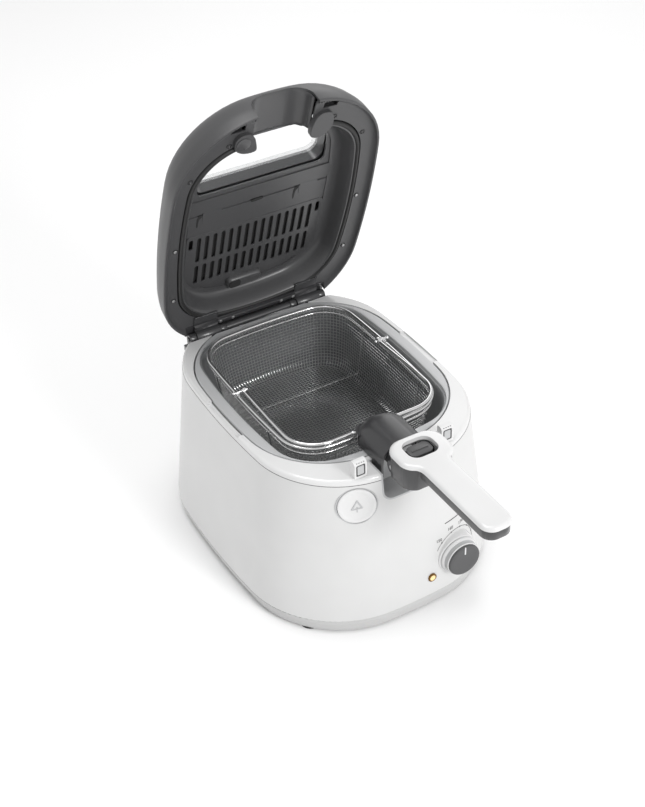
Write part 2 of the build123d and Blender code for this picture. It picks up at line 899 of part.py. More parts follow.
def eyelet(side):
    """Short cross wire clipped over the rim; the bail turns on its inner end."""
    x = sided(side, (basket_half_x - bail_inset - eyelet_inside, basket_half_x + eyelet_outside))
    rod = rod_x(x, eyelet_y, eyelet_z, eyelet_wire)
    for end in x:
        rod += Pos(end, eyelet_y, eyelet_z) * Sphere(bead_radius)
    outer, inner = (wire + extra for extra in sleeve_radii)
    sleeve = Rot(90, 0, 0) * (Cylinder(outer, sleeve_length) - Cylinder(inner, sleeve_length + 2))
    sleeve -= block(both(sleeve_length), both(sleeve_length), (-sleeve_length, 0))
    return rod + Pos(side * basket_half_x, eyelet_y, basket_rim_z) * sleeve


def bail_wire():
    """Wire from eyelet to eyelet just inside the basket's rim, with both arms running into the hood."""
    loop_x = basket_half_x - bail_inset
    run_x = loop_x + 2
    front_y = basket_y - basket_half_y + bail_front_gap
    top_y, top_z, end_z = bail_top
    grow, length = bail_loop
    ring = Cylinder(eyelet_wire + grow, length) - Cylinder(eyelet_wire + running_gap, length + 1.4)
    points = [
        (loop_x, eyelet_y - eyelet_wire - grow / 2, eyelet_z),
        (run_x, bail_rise, bail_z),
        (run_x, front_y, bail_z),
        (bail_arm[0], front_y, bail_z),
        (bail_arm[1], top_y, top_z),
        (bail_arm[1], pivot_y + hub_radius, end_z),
    ]
    solid = round_wire(FilletPolyline(*points, radius=bail_radii), wire)
    solid += Pos(loop_x, eyelet_y, eyelet_z) * Rot(0, 90, 0) * ring
    return solid + mirrored(solid)


def bail_hub():
    """Sleeve on the handle pin that the bail's arms end in."""
    solid = rod_x(both(hub_half_x), pivot_y, pivot_z, hub_radius)
    solid += block(both(hub_half_x), (pivot_y, pivot_y + hub_radius), (pivot_z, hub_top))
    return solid - rod_x(both(hub_half_x + 1), pivot_y, pivot_z, pin_radius + running_gap)


# ---- hood and handle ----------------------------------------------------------------------------
def hood_arch(inset, y0, y1):
    """Upright arch of the hood's section, moved inwards by an amount, between two values on Y."""
    height = hood_top - scoop_floor
    size = (2 * (hood_half_x - inset), height)
    face = Plane.XZ * Pos(0, hood_top - inset - height / 2) * RectangleRounded(*size, hood_corner - inset)
    return Pos(0, y1, 0) * extrude(face, y1 - y0)


def hood():
    """Dark cowl over the bowl's front rim with two cheeks that hold the handle pin."""
    wide = both(hood_half_x + 10)
    solid = hood_arch(0, *hood_y) - hood_arch(hood_wall, *grown(hood_y, 1))
    solid -= block(wide, (scoop_back_y, 0), (0, trim_top + trim_gap))
    solid -= block(wide, (hood_nose[0], 0), (0, hood_nose[1]))
    solid -= block(wide, (-side_limit, scoop_back_y), (0, hood_front_floor))
    inside = hood_arch(1.0, *hood_y)
    low = pivot_z - cheek_half_z
    for side in SIDES.values():
        front, back = pivot_y - cheek_y[0], cheek_y[1]
        cheek = block(sided(side, cheek_x), (front, back), (low, pivot_z + cheek_half_z))
        rib_x = sided(side, (cheek_x[0], hood_half_x - 1))
        rib = block(rib_x, (rib_y, back), (low, pivot_z + rib_top))
        cheek += rib & inside
        solid += cheek - rod_x(sided(side, grown(cheek_x, 3)), pivot_y, pivot_z, pin_radius)
    return solid


def handle_pin():
    return rod_x(both(pin_half_x), pivot_y, pivot_z, pin_radius)


def handle_plan(inset, z):
    """Plan of the handle: ring head, neck and grip."""
    length = ring_y - grip_end_y
    ring_front = ring_y - ring_size[1] / 2
    with BuildSketch(Plane.XY.offset(z)) as plan:
        with Locations((0, ring_y)):
            RectangleRounded(*ring_size, ring_corner)
        with Locations((0, ring_y - length / 2)):
            RectangleRounded(2 * grip_half_x, length, grip_corner)
        inner = [v for v in plan.vertices() if abs(v.Y - ring_front) < 0.5 and abs(v.X) < grip_half_x + 1.5]
        fillet(inner, neck_fillet)
    face = plan.sketch.face()
    return offset(face, -inset).face() if inset else face


def slide_window(grow, z0, z1):
    """Opening in the ring head that shows the release slide."""
    return rounded_block(both(window_x + grow), grown(window_span, grow), (z0, z1), window_round + grow)


def handle_cover():
    """White upper half of the handle."""
    solid = extrude(handle_plan(0, handle_top - cover_thick), cover_thick)
    solid = fillet(solid.edges().group_by(Axis.Z)[-1], cover_round)
    return solid - slide_window(0, cup_floor, handle_top + 1)


def handle_shell():
    """Dark lower half: deep cup under the ring head, shallow channel under the grip."""
    top = handle_top - cover_thick
    roof = top - shell_roof
    solid = extrude(handle_plan(shell_inset, cup_floor), top - cup_floor)
    solid -= block(both(2 * cup_half_x), (front_limit, ring_y - grip_start), (0, grip_floor))
    cup_y = (ring_y - cup_front, ring_y + 2 * cup_front)
    solid -= rounded_block(both(cup_half_x), cup_y, (cup_floor - 1, roof), cup_corner)
    solid -= block(both(2 * cup_half_x), (shell_front_y, 0), (0, roof))
    solid -= slide_window(1.5, cup_floor + 9, top + 1)
    solid -= rounded_block(*channel, (grip_floor + shell_roof, top + 1), channel_corner)
    for side in SIDES.values():
        solid += rod_x(sided(side, handle_boss), pivot_y, pivot_z, knuckle_radius)
    return solid - rod_x(both(ring_size[0]), pivot_y, pivot_z, pin_radius + running_gap)


def handle_slide():
    """Grey release slide inside the ring head's window."""
    return rounded_block(*slide_size, slide_corner) + block(*slide_ridge)


# ---- every node ---------------------------------------------------------------------------------
def fixed_nodes():
    found = {
        "outer_shell": outer_shell(),
        "top_trim": top_trim(),
        "scoop_liner": scoop_liner(),
        "bowl_collar": bowl_collar(),
        "oil_bowl": oil_bowl(),
        "base_pan": base_pan(),
        "rear_deck": rear_deck(),
        "cord_gland": cord_gland(),
        "heating_element": heating_element(),
        "thermostat_body": thermostat_body(),
        "button_guide": button_guide(),
        "dial_boss": dial_boss(),
        "lamp_bezel": lamp_bezel(),
        "lamp_lens": lamp_lens(),
        "hood": hood(),
        "handle_pin": handle_pin(),
    }
    for place, (x, y) in foot_places.items():
        found["foot_" + place] = foot(x, y)
    for place, side in SIDES.items():
        found["bracket_socket_" + place] = bracket_socket(side)
        found["latch_housing_" + place] = latch_housing(side)
    return found


def moving_nodes():
    found = {
        "lid_button": lid_button(),
        "knob_skirt": knob_skirt(),
        "knob_cap": knob_cap(),
        "knob_pointer": knob_pointer(),
        "thermostat_shaft": thermostat_shaft(),
        "lid_bracket": lid_bracket(),
        "basket_mesh": basket_mesh(),
        "basket_rim": basket_rim(),
        "basket_hoops": basket_hoops(),
        "bail_wire": bail_wire(),
        "bail_hub": bail_hub(),
        "handle_cover": handle_cover(),
        "handle_shell": handle_shell(),
        "handle_slide": handle_slide(),
    }
    for place, side in SIDES.items():
        found["latch_bolt_" + place] = latch_bolt(side)
        found["hinge_pin_" + place] = hinge_pin(side)
        found["torsion_spring_" + place] = torsion_spring(side)
        found["eyelet_" + place] = eyelet(side)
    return found


def lid_nodes():
    found = {
        "lid_shell": lid_shell(),
        "lid_frame": lid_frame(),
        "lid_liner": lid_liner(),
        "lid_seal": lid_seal(),
        "window_glass": window_glass(),
        "window_bezel": window_bezel(),
        "filter_cover": filter_cover(),
        "filter_mat": filter_mat(),
        "hinge_bar": hinge_bar(),
    }
    for place, side in SIDES.items():
        found["lid_hook_" + place] = lid_hook(side)
        found["hinge_arm_" + place] = hinge_arm(side)
    found["lid_screws"] = Compound(children=[lid_screw(x, y) for x, y in screw_places])
    return {name: opened(solid) for name, solid in found.items()}


os.makedirs("parts", exist_ok=True)
for name, solid in {**fixed_nodes(), **moving_nodes(), **lid_nodes()}.items():
    export_step(solid, f"parts/{name}.step")
    print(name, round(solid.volume))
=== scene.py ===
"""Looks of the compact deep fryer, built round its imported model."""
import json
from math import atan2, cos, pi, radians, sin, sqrt, tan

import bmesh
import bpy
from mathutils import Matrix, Vector
from mathutils.bvhtree import BVHTree


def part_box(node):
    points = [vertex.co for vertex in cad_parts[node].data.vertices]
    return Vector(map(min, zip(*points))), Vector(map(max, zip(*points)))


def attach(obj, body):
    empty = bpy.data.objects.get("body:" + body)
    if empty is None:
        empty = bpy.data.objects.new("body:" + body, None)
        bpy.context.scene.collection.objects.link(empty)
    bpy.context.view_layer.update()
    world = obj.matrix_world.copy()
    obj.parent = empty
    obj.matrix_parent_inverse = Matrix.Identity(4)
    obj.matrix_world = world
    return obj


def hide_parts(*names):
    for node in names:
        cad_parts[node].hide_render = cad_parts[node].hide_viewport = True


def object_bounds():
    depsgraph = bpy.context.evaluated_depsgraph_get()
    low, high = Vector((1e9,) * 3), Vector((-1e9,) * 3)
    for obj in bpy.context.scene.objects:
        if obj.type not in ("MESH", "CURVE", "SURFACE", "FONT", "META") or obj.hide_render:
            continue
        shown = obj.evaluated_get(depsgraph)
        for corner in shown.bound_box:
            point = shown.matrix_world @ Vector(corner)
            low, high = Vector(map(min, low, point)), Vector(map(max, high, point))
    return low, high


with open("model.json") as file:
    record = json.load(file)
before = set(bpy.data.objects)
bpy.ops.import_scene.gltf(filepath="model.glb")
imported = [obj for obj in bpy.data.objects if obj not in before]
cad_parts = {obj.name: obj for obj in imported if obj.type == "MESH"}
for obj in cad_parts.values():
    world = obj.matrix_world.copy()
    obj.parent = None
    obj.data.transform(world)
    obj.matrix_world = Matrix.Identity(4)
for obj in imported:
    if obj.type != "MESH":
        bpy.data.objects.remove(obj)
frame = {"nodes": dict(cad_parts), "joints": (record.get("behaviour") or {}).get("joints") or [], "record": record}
cad_bounds = [list(corner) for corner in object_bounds()]
nodes = frame["nodes"]
joints = {joint["name"]: joint for joint in frame["joints"]}
MM = 0.001


# ---- materials --------------------
def set_sockets(node, **values):
    """Set a node's inputs, named by keyword with underscores for spaces."""
    for socket, value in values.items():
        node.inputs[socket.replace("_", " ")].default_value = value
    return node


def new_material(name, color, roughness, metallic=0.0, **others):
    """Principled material."""
    material = bpy.data.materials.new(name)
    material.use_nodes = True
    shader = material.node_tree.nodes["Principled BSDF"]
    set_sockets(shader, Base_Color=(*color, 1), Roughness=roughness, Metallic=metallic, **others)
    return material


def link_noise(material, scale, detail, stretch=(1, 1, 1)):
    """Noise in the piece's own space, for a material's relief, colour and roughness."""
    tree = material.node_tree
    place = tree.nodes.new("ShaderNodeTexCoord")
    mapping = set_sockets(tree.nodes.new("ShaderNodeMapping"), Scale=stretch)
    noise = set_sockets(tree.nodes.new("ShaderNodeTexNoise"), Scale=scale, Detail=detail)
    tree.links.new(place.outputs["Object"], mapping.inputs["Vector"])
    tree.links.new(mapping.outputs["Vector"], noise.inputs["Vector"])
    return noise


def add_bump(material, noise, strength, distance):
    """Use a noise as surface relief, on top of any relief that is already there."""
    tree = material.node_tree
    shader = tree.nodes["Principled BSDF"]
    bump = set_sockets(tree.nodes.new("ShaderNodeBump"), Strength=strength, Distance=distance)
    tree.links.new(noise.outputs["Fac"], bump.inputs["Height"])
    if shader.inputs["Normal"].is_linked:
        tree.links.new(shader.inputs["Normal"].links[0].from_socket, bump.inputs["Normal"])
    tree.links.new(bump.outputs["Normal"], shader.inputs["Normal"])


def vary(material, noise, socket, low, high):
    """Let a noise move a number socket between two values."""
    tree = material.node_tree
    spread = set_sockets(tree.nodes.new("ShaderNodeMapRange"), To_Min=low, To_Max=high)
    tree.links.new(noise.outputs["Fac"], spread.inputs["Value"])
    tree.links.new(spread.outputs["Result"], tree.nodes["Principled BSDF"].inputs[socket])


def vary_color(material, noise, dark, light):
    """Let a noise move the base colour between two tones."""
    tree = material.node_tree
    ramp = tree.nodes.new("ShaderNodeValToRGB")
    for stop, place, tone in zip(ramp.color_ramp.elements, (0.3, 0.7), (dark, light)):
        stop.position, stop.color = place, (*tone, 1)
    tree.links.new(noise.outputs["Fac"], ramp.inputs["Fac"])
    tree.links.new(ramp.outputs["Color"], tree.nodes["Principled BSDF"].inputs["Base Color"])


def plastic(name, color, roughness, grain, grain_scale, coat, coat_roughness):
    """Moulded plastic: fine grain, faint large tone changes and a clear coat."""
    material = new_material(name, color, roughness, Coat_Weight=coat, Coat_Roughness=coat_roughness)
    add_bump(material, link_noise(material, grain_scale, 3), grain, 0.00006)
    broad = link_noise(material, 14, 2)
    vary(material, broad, "Roughness", roughness * 0.88, min(1.0, roughness * 1.12))
    vary_color(material, broad, [c * 0.97 for c in color], [min(1.0, c * 1.03) for c in color])
    return material


def metal(name, color, roughness, stretch):
    """Metal with fine drawing marks along one direction."""
    material = new_material(name, color, roughness, 1.0)
    noise = link_noise(material, 900, 4, stretch)
    add_bump(material, noise, 0.08, 0.00004)
    vary(material, noise, "Roughness", roughness * 0.7, roughness * 1.3)
    return material


def make_nonstick():
    """Grey coating with fine speckles, inside the bowl."""
    coating = new_material("nonstick", (0.26, 0.265, 0.27), 0.42, 0.35)
    speckle = link_noise(coating, 1400, 4)
    vary_color(coating, speckle, (0.21, 0.215, 0.22), (0.31, 0.315, 0.32))
    add_bump(coating, speckle, 0.2, 0.00005)
    return coating


def make_glass():
    """Clear pane that bends light very little, so that the view through it stays in place."""
    glass = new_material("glass", (0.97, 0.985, 0.99), 0.03, Transmission_Weight=1.0, IOR=1.08, Alpha=0.35)
    vary(glass, link_noise(glass, 40, 3), "Roughness", 0.02, 0.06)
    return glass


def make_amber():
    """Lamp lens with a weak glow of its own."""
    amber = new_material("amber", (0.95, 0.68, 0.33), 0.18, Emission_Strength=0.15, Coat_Weight=0.6,
                         Emission_Color=(1.0, 0.72, 0.35, 1))
    add_bump(amber, link_noise(amber, 500, 2), 0.15, 0.0001)
    return amber


# name: colour, roughness, grain, grain scale, coat weight, coat roughness
PLASTICS = {
    "pearl_shell": ((0.64, 0.64, 0.638), 0.34, 0.10, 5200, 0.3, 0.2),
    # The base pan's look: the pearl shell's plastic painted darker, as painted shade where the pan turns down and
    # inward.
    "band_painted_shade": ((0.52, 0.52, 0.518), 0.34, 0.10, 5200, 0.3, 0.2),
    "gloss_white": ((0.69, 0.69, 0.69), 0.20, 0.04, 1800, 0.5, 0.06),
    "light_grey": ((0.47, 0.475, 0.48), 0.30, 0.12, 2600, 0.3, 0.03),
    "lid_grey": ((0.060, 0.060, 0.062), 0.38, 0.30, 2600, 0.0, 0.03),
    "inner_grey": ((0.062, 0.062, 0.064), 0.36, 0.30, 2600, 0.25, 0.25),
    "dark_grey": ((0.040, 0.040, 0.042), 0.30, 0.25, 2600, 0.35, 0.2),
    "knob_grey": ((0.075, 0.075, 0.077), 0.45, 0.40, 3800, 0.0, 0.03),
    "print": ((0.10, 0.10, 0.10), 0.50, 0.15, 2600, 0.0, 0.03),
    "rubber": ((0.02, 0.02, 0.02), 0.75, 0.50, 1600, 0.0, 0.03),
    "seal": ((0.015, 0.015, 0.015), 0.55, 0.30, 2600, 0.0, 0.03),
    "filter": ((0.02, 0.02, 0.02), 0.95, 1.00, 420, 0.0, 0.03),
}
# name: colour, roughness, stretch of the drawing marks
METALS = {
    "chrome": ((0.78, 0.78, 0.78), 0.16, (1, 1, 1)),
    "steel": ((0.62, 0.62, 0.62), 0.30, (1, 8, 1)),
    "black_steel": ((0.07, 0.07, 0.07), 0.38, (6, 1, 1)),
    "bronze": ((0.20, 0.11, 0.035), 0.30, (1, 1, 1)),
}


def make_materials():
    """Every look by name; the names are the record's slots, plus print and the base pan's look, a darker copy of
    the pearl plastic as painted shade.
    """
    looks = {"nonstick": make_nonstick(), "glass": make_glass(), "amber": make_amber()}
    for name, values in PLASTICS.items():
        looks[name] = plastic(name, *values)
    for name, values in METALS.items():
        looks[name] = metal(name, *values)
    return looks


materials = make_materials()


def dress(piece, slot, look=None):
    """Give a piece the record's slot and the material of that name, or another look of the same plastic."""
    piece.data.materials.clear()
    piece.data.materials.append(materials[look or slot])


def round_edges(piece, width, angle=35):
    """Small round on the edges that turn by more than an angle in degrees."""
    bevel = piece.modifiers.new("edge_round", "BEVEL")
    bevel.width = width * MM
    bevel.segments = 2
    bevel.limit_method = "ANGLE"
    bevel.angle_limit = radians(angle)
    bevel.harden_normals = True


def soften(piece, width):
    """Join a CAD node's split vertices, then round and smooth its edges."""
    weld = piece.modifiers.new("joined_edges", "WELD")
    weld.merge_threshold = 0.002 * MM
    round_edges(piece, width, 32)
    for polygon in piece.data.polygons:
        polygon.use_smooth = True


EDGE_ROUNDS = {"handle_shell": 0.9, "handle_slide": 0.8, "lid_bracket": 0.6, "hinge_arm_left": 0.8,
               "hinge_arm_right": 0.8, "hinge_bar": 0.5, "scoop_liner": 0.4, "bail_hub": 0.4}
# The base pan wears the darker copy of the pearl plastic: painted shade for its downward-turned face.
OWN_LOOKS = {"base_pan": "band_painted_shade"}


def dress_cad_nodes():
    """Material on every carried-over CAD node, and rounded edges on those whose edges show."""
    slots = {entry["node"]: entry["material_slot"] for entry in frame["record"]["subparts"]}
    for name, piece in nodes.items():
        piece.material_slots[0].material = materials[OWN_LOOKS.get(name, slots[name])]
        if name in EDGE_ROUNDS:
            soften(piece, EDGE_ROUNDS[name])


dress_cad_nodes()


# ---- shape helpers (lengths in millimetres) --------------------
SHARP_ANGLE = 38
WELD_DISTANCE = 0.005


def arc(centre, radius, start, end, count):
    """Points along a circle, the last one left out."""
    angles = [start + (end - start) * i / count for i in range(count)]
    return [(centre[0] + radius * cos(a), centre[1] + radius * sin(a)) for a in angles]


def outline(half_x, half_y, y=0.0, sag=(0.10, 0.075), corner=0.80, side_steps=9, corner_steps=14):
    """Closed soft rectangle about (0, y): four bowed sides joined by round corners, counter-clockwise.

    sag is how far each pair of sides bows out, as a share of its half size. corner is the corners' radius
    as a share of half_x.
    """
    flat_x, flat_y = half_x * (1 - sag[0]), half_y * (1 - sag[1])
    bow_x, bow_y = half_x - flat_x, half_y - flat_y
    side_r = (flat_y * flat_y + bow_x * bow_x) / (2 * bow_x)
    end_r = (flat_x * flat_x + bow_y * bow_y) / (2 * bow_y)
    side_c, end_c = Vector((half_x - side_r, 0)), Vector((0, half_y - end_r))
    radius = corner * half_x
    to_side, to_end = side_r - radius, end_r - radius
    distance = (end_c - side_c).length
    along = (to_side ** 2 - to_end ** 2 + distance ** 2) / (2 * distance)
    off = sqrt(to_side ** 2 - along ** 2)
    step = (end_c - side_c) / distance
    corner_c = side_c + step * along + Vector((-step.y, step.x)) * off
    low = atan2(corner_c.y - side_c.y, corner_c.x - side_c.x)
    high = atan2(corner_c.y - end_c.y, corner_c.x - end_c.x)
    quarter = (arc(side_c, side_r, 0, low, side_steps) + arc(corner_c, radius, low, high, corner_steps)
               + arc(end_c, end_r, high, pi / 2, side_steps))
    upper = quarter + [(0.0, half_y)] + [(-a, b) for a, b in reversed(quarter)]
    lower = [(-a, -b) for a, b in upper[1:-1]]
    return [(a, b + y) for a, b in upper + lower]


def round_box(x, y, radius, low_radius=None, steps=6):
    """Closed rectangle with round corners, counter-clockwise; low_radius is for the two corners at y[0]."""
    points = []
    corners = ((x[1], y[1]), (x[0], y[1]), (x[0], y[0]), (x[1], y[0]))
    for turn, (corner_x, corner_y) in enumerate(corners):
        r = low_radius if low_radius and corner_y == y[0] else radius
        centre = (corner_x + (-r if corner_x == x[1] else r), corner_y + (-r if corner_y == y[1] else r))
        start, end = turn * pi / 2, (turn + 1) * pi / 2
        points += arc(centre, r, start, end, steps)
        points.append((centre[0] + r * cos(end), centre[1] + r * sin(end)))
    return points


def about(middle, half):
    return middle - half, middle + half


def circle(centre, radius, count):
    return arc(centre, radius, 0, 2 * pi, count)


def at(points, z):
    """Flat points lifted to a height."""
    return [(x, y, z) for x, y in points]


def mix_rings(first, second, t):
    """Ring at a share t of the way from the first to the second."""
    return [tuple(a + (b - a) * t for a, b in zip(p, q)) for p, q in zip(first, second)]


def soft_polygon(points, rounds):
    """Corner-cut a polygon so that its corners come out round."""
    for _ in range(rounds):
        cut = []
        for i, (x, y) in enumerate(points):
            nx, ny = points[(i + 1) % len(points)]
            cut += [(x * 0.75 + nx * 0.25, y * 0.75 + ny * 0.25), (x * 0.25 + nx * 0.75, y * 0.25 + ny * 0.75)]
        points = cut
    return points


def fillet(inset, z, radius, steps):
    """Quarter round from a wall's foot down to a floor, as inset and height pairs without the first."""
    angles = [k / steps * pi / 2 for k in range(1, steps + 1)]
    return [(inset + radius * (1 - cos(a)), z - radius * sin(a)) for a in angles]


def bend_points(start, corner, end, steps):
    """Points of a curve from start to end that bends towards corner."""
    shares = [k / steps for k in range(steps + 1)]
    return [tuple(start * (1 - t) ** 2 + corner * 2 * t * (1 - t) + end * t ** 2) for t in shares]


def round_corners(points, radius, steps=5):
    """Polygon with each corner replaced by a short curve that starts a radius from it."""
    result = []
    for i, corner in enumerate(points):
        here = Vector(corner)
        before = here + (Vector(points[i - 1]) - here).normalized() * radius
        after = here + (Vector(points[(i + 1) % len(points)]) - here).normalized() * radius
        result += bend_points(before, here, after, steps)
    return result


def add_walls(bm, low, high, closed=True):
    """Quads between two rows of vertices."""
    for i in range(0 if closed else 1, len(low)):
        bm.faces.new((low[i - 1], low[i], high[i], high[i - 1]))


def add_prism(bm, low_points, high_points):
    """Closed solid between two matching outlines in space."""
    low, high = ([bm.verts.new(point) for point in points] for points in (low_points, high_points))
    bm.faces.new(low)
    bm.faces.new(high)
    add_walls(bm, low, high)


def new_object(name, data):
    thing = bpy.data.objects.new(name, data)
    bpy.context.collection.objects.link(thing)
    return thing


def add_skin(bm, rings, closed=True, loop=False):
    """Quads between neighbouring rings of points, which it returns as rows of vertices."""
    rows = [[bm.verts.new(point) for point in ring] for ring in rings]
    for low, high in zip(rows, rows[1:] + rows[:1] if loop else rows[1:]):
        add_walls(bm, low, high, closed)
    return rows


def link_mesh(bm, name):
    """Object made of a bmesh, which is used up."""
    mesh = bpy.data.meshes.new(name)
    bm.to_mesh(mesh)
    bm.free()
    return new_object(name, mesh)


def finish_mesh(bm, name, body, slot, place=None, sharp=SHARP_ANGLE):
    """Turn a bmesh in millimetres into a piece that rides on a body."""
    bmesh.ops.remove_doubles(bm, verts=bm.verts, dist=WELD_DISTANCE)
    bmesh.ops.recalc_face_normals(bm, faces=bm.faces)
    if place is not None:
        bmesh.ops.transform(bm, matrix=place, verts=bm.verts)
    bmesh.ops.scale(bm, vec=(MM, MM, MM), verts=bm.verts)
    piece = link_mesh(bm, name)
    for polygon in piece.data.polygons:
        polygon.use_smooth = True
    piece.data.set_sharp_from_angle(angle=radians(sharp))
    dress(piece, slot)
    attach(piece, body)
    return piece


def loft(name, rings, body, slot, place=None, closed=True, caps=(False, False), sharp=SHARP_ANGLE,
         loop=False):
    """Skin over a row of rings, with optional flat ends, or joined from the last ring to the first."""
    bm = bmesh.new()
    rows = add_skin(bm, rings, closed, loop)
    if caps[0]:
        bm.faces.new(rows[0])
    if caps[1]:
        bm.faces.new(rows[-1])
    return finish_mesh(bm, name, body, slot, place, sharp)


def plate(name, outer, holes, z0, z1, body, slot, place=None, bevel=0.0):
    """Flat plate with holes, between two heights, with an optional round on its edges."""
    bm = bmesh.new()
    for z in (z0, z1):
        edges = []
        for loop in [outer] + holes:
            verts = [bm.verts.new((x, y, z)) for x, y in loop]
            edges += [bm.edges.new((verts[i], verts[i - 1])) for i in range(len(verts))]
        bmesh.ops.triangle_fill(bm, edges=edges, use_beauty=True, use_dissolve=False)
    for loop in [outer] + holes:
        low, high = ([bm.verts.new((x, y, z)) for x, y in loop] for z in (z0, z1))
        add_walls(bm, low, high)
    piece = finish_mesh(bm, name, body, slot, place)
    if bevel:
        round_edges(piece, bevel)
    return piece


def add_tube(bm, points, radius, sides=6, closed=False):
    """Round wire through points, with flat ends or closed to a ring."""
    path = [Vector(p) for p in points]
    rings = []
    normal = None
    for i, point in enumerate(path):
        before = path[i - 1] if i or closed else point
        after = path[(i + 1) % len(path)] if i < len(path) - 1 or closed else point
        tangent = (after - before).normalized()
        if normal is None:
            normal = tangent.orthogonal().normalized()
        normal = (normal - tangent * normal.dot(tangent)).normalized()
        cross = tangent.cross(normal)
        spokes = [normal * x + cross * y for x, y in circle((0, 0), radius, sides)]
        rings.append([point + spoke for spoke in spokes])
    high, *_, low = add_skin(bm, rings)
    if closed:
        shift = min(range(sides), key=lambda s: (low[0].co - high[s].co).length)
        add_walls(bm, low, high[shift:] + high[:shift])
    else:
        bm.faces.new(high)
        bm.faces.new(list(reversed(low)))


def turned(name, profile, body, slot, place, steps=64, ribs=None):
    """Round part from (radius, height) pairs; ribs is (count, depth, low, high) for a fluted side."""
    rings = []
    for radius, height in profile:
        ring = []
        for k in range(steps):
            a = 2 * pi * k / steps
            r = radius
            if ribs and ribs[2] <= height <= ribs[3]:
                r -= ribs[1] * (0.5 - 0.5 * cos(ribs[0] * a))
            ring.append((r * cos(a), r * sin(a), height))
        rings.append(ring)
    ends = (profile[0][0] > 0.01, profile[-1][0] > 0.01)
    return loft(name, rings, body, slot, place, caps=ends)


def evaluated_mesh(piece):
    graph = bpy.context.evaluated_depsgraph_get()
    return bpy.data.meshes.new_from_object(piece.evaluated_get(graph))


def apply_modifiers(piece):
    """Replace a piece's mesh by what its modifiers make of it."""
    result = evaluated_mesh(piece)
    piece.modifiers.clear()
    piece.data = result


def thicken(piece, thickness, offset=-1.0):
    """Give a skin a thickness; an offset of -1 lays it behind the skin, 1 in front and 0 on both sides."""
    solid = piece.modifiers.new("thickness", "SOLIDIFY")
    solid.thickness = thickness * MM
    solid.offset = offset
    apply_modifiers(piece)


def cut_away(piece, cutters):
    """Subtract closed solids from a piece and apply the cut."""
    bm = bmesh.new()
    for add in cutters:
        add(bm)
    bmesh.ops.recalc_face_normals(bm, faces=bm.faces)
    cutter = link_mesh(bm, "cutter")
    modifier = piece.modifiers.new("cut", "BOOLEAN")
    modifier.operation = "DIFFERENCE"
    modifier.solver = "EXACT"
    modifier.object = cutter
    apply_modifiers(piece)
    bpy.data.objects.remove(cutter)
    piece.data.set_sharp_from_angle(angle=radians(SHARP_ANGLE))


def prism(outer, z0, z1, place=None):
    """Adder of an upright prism for cut_away."""
    matrix = place or Matrix.Identity(4)

    def add(bm):
        add_prism(bm, *([(matrix @ Vector((x, y, z))) * MM for x, y in outer] for z in (z0, z1)))
    return add


def add_slab(bm, side_view, x0, x1):
    """Slab between two values on X, from its outline as (y, z) points."""
    add_prism(bm, *([(x, y, z) for y, z in side_view] for x in (x0, x1)))


# ---- frame measures --------------------
def box_mm(node):
    """Lowest and highest corner of a CAD node, in millimetres."""
    return [[value / MM for value in corner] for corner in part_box(node)]


SHELL = box_mm("outer_shell")
TRIM = box_mm("top_trim")
SEAM_Z, SHELL_TOP, TRIM_TOP = SHELL[0][2], SHELL[1][2], TRIM[1][2]
SEAM_HALF = (SHELL[1][0], SHELL[1][1])
TOP_HALF = (121.5, 164.5)
HINGE = Vector(joints["lid_hinge"]["pos_m"]) / MM
LID_ANGLE = radians(joints["lid_hinge"]["range_deg"][1])
RIM_Z = 187.5
SIDES = {"left": -1, "right": 1}
# Places the lid's parts, which are drawn closed with their rim at height 0, on the open lid.
OPEN = (
    Matrix.Translation(HINGE)
    @ Matrix.Rotation(-LID_ANGLE, 4, "X")
    @ Matrix.Translation(-HINGE)
    @ Matrix.Translation((0, 0, RIM_Z))
)
# Turns a shape drawn with its height on Y to the front, so that its depth runs towards -Y.
FRONT = Matrix.Rotation(radians(90), 4, "X")


def housing_half(z):
    """Half width and half depth of the housing at a height."""
    t = (z - SEAM_Z) / (SHELL_TOP - SEAM_Z)
    return [low + (high - low) * t for low, high in zip(SEAM_HALF, TOP_HALF)]


# ---- lid, drawn closed: x, y and the height w above its rim --------------------
LID_HALF = (119.5, 165.5)
LID_REAR, LID_TOP, LID_WALL = 149.0, 50.0, 2.4
LINER_HALF = (95.2, 125.2)
LINER_Y = 1.0
CEILING = 30.0
# Heights, and how far the skin lies inside the rim there.
DOME = [(0.0, 0.0), (14.0, 0.9), (21.0, 2.9), (28.0, 5.3), (38.0, 11.8), (45.0, 22.0), (50.0, 42.0)]
ARCH_HALF, ARCH_TOP, ARCH_CORNER = 33.0, 30.0, 20.0
WINDOW = ((-73.0, 73.0), (-107.6, -42.0))
BLACK_SLOT = "filter"


def dome_shrink(w):
    """How far the lid's skin lies inside its rim at a height, on a smooth curve through DOME."""
    for i in range(len(DOME) - 1):
        (w0, s0), (w1, s1) = DOME[i], DOME[i + 1]
        if w <= w1:
            break
    before = DOME[i - 1] if i else (w0 - (w1 - w0), s0)
    after = DOME[i + 2] if i + 2 < len(DOME) else (w1 + 3.0, s1 + 30.0)
    t = (w - w0) / (w1 - w0)
    m0 = (s1 - before[1]) / (w1 - before[0]) * (w1 - w0)
    m1 = (after[1] - s0) / (after[0] - w0) * (w1 - w0)
    return ((2 * t ** 3 - 3 * t ** 2 + 1) * s0 + (t ** 3 - 2 * t ** 2 + t) * m0
            + (3 * t ** 2 - 2 * t ** 3) * s1 + (t ** 3 - t ** 2) * m1)


def lid_ring(shrink, w, rear=LID_REAR):
    """Ring of the lid's outer skin, flattened behind the hinge."""
    ring = outline(LID_HALF[0] - shrink, LID_HALF[1] - shrink)
    return [(x, min(y, rear), w) for x, y in ring]


def liner_ring(grow, w):
    """Ring round the lid's inner tray, a distance outside its lower edge."""
    return at(outline(LINER_HALF[0] + grow, LINER_HALF[1] + grow, LINER_Y, (0.10, 0.10), 0.6), w)


def lid_loft(name, rings, slot, **options):
    return loft(name, rings, "lid", slot, OPEN, **options)


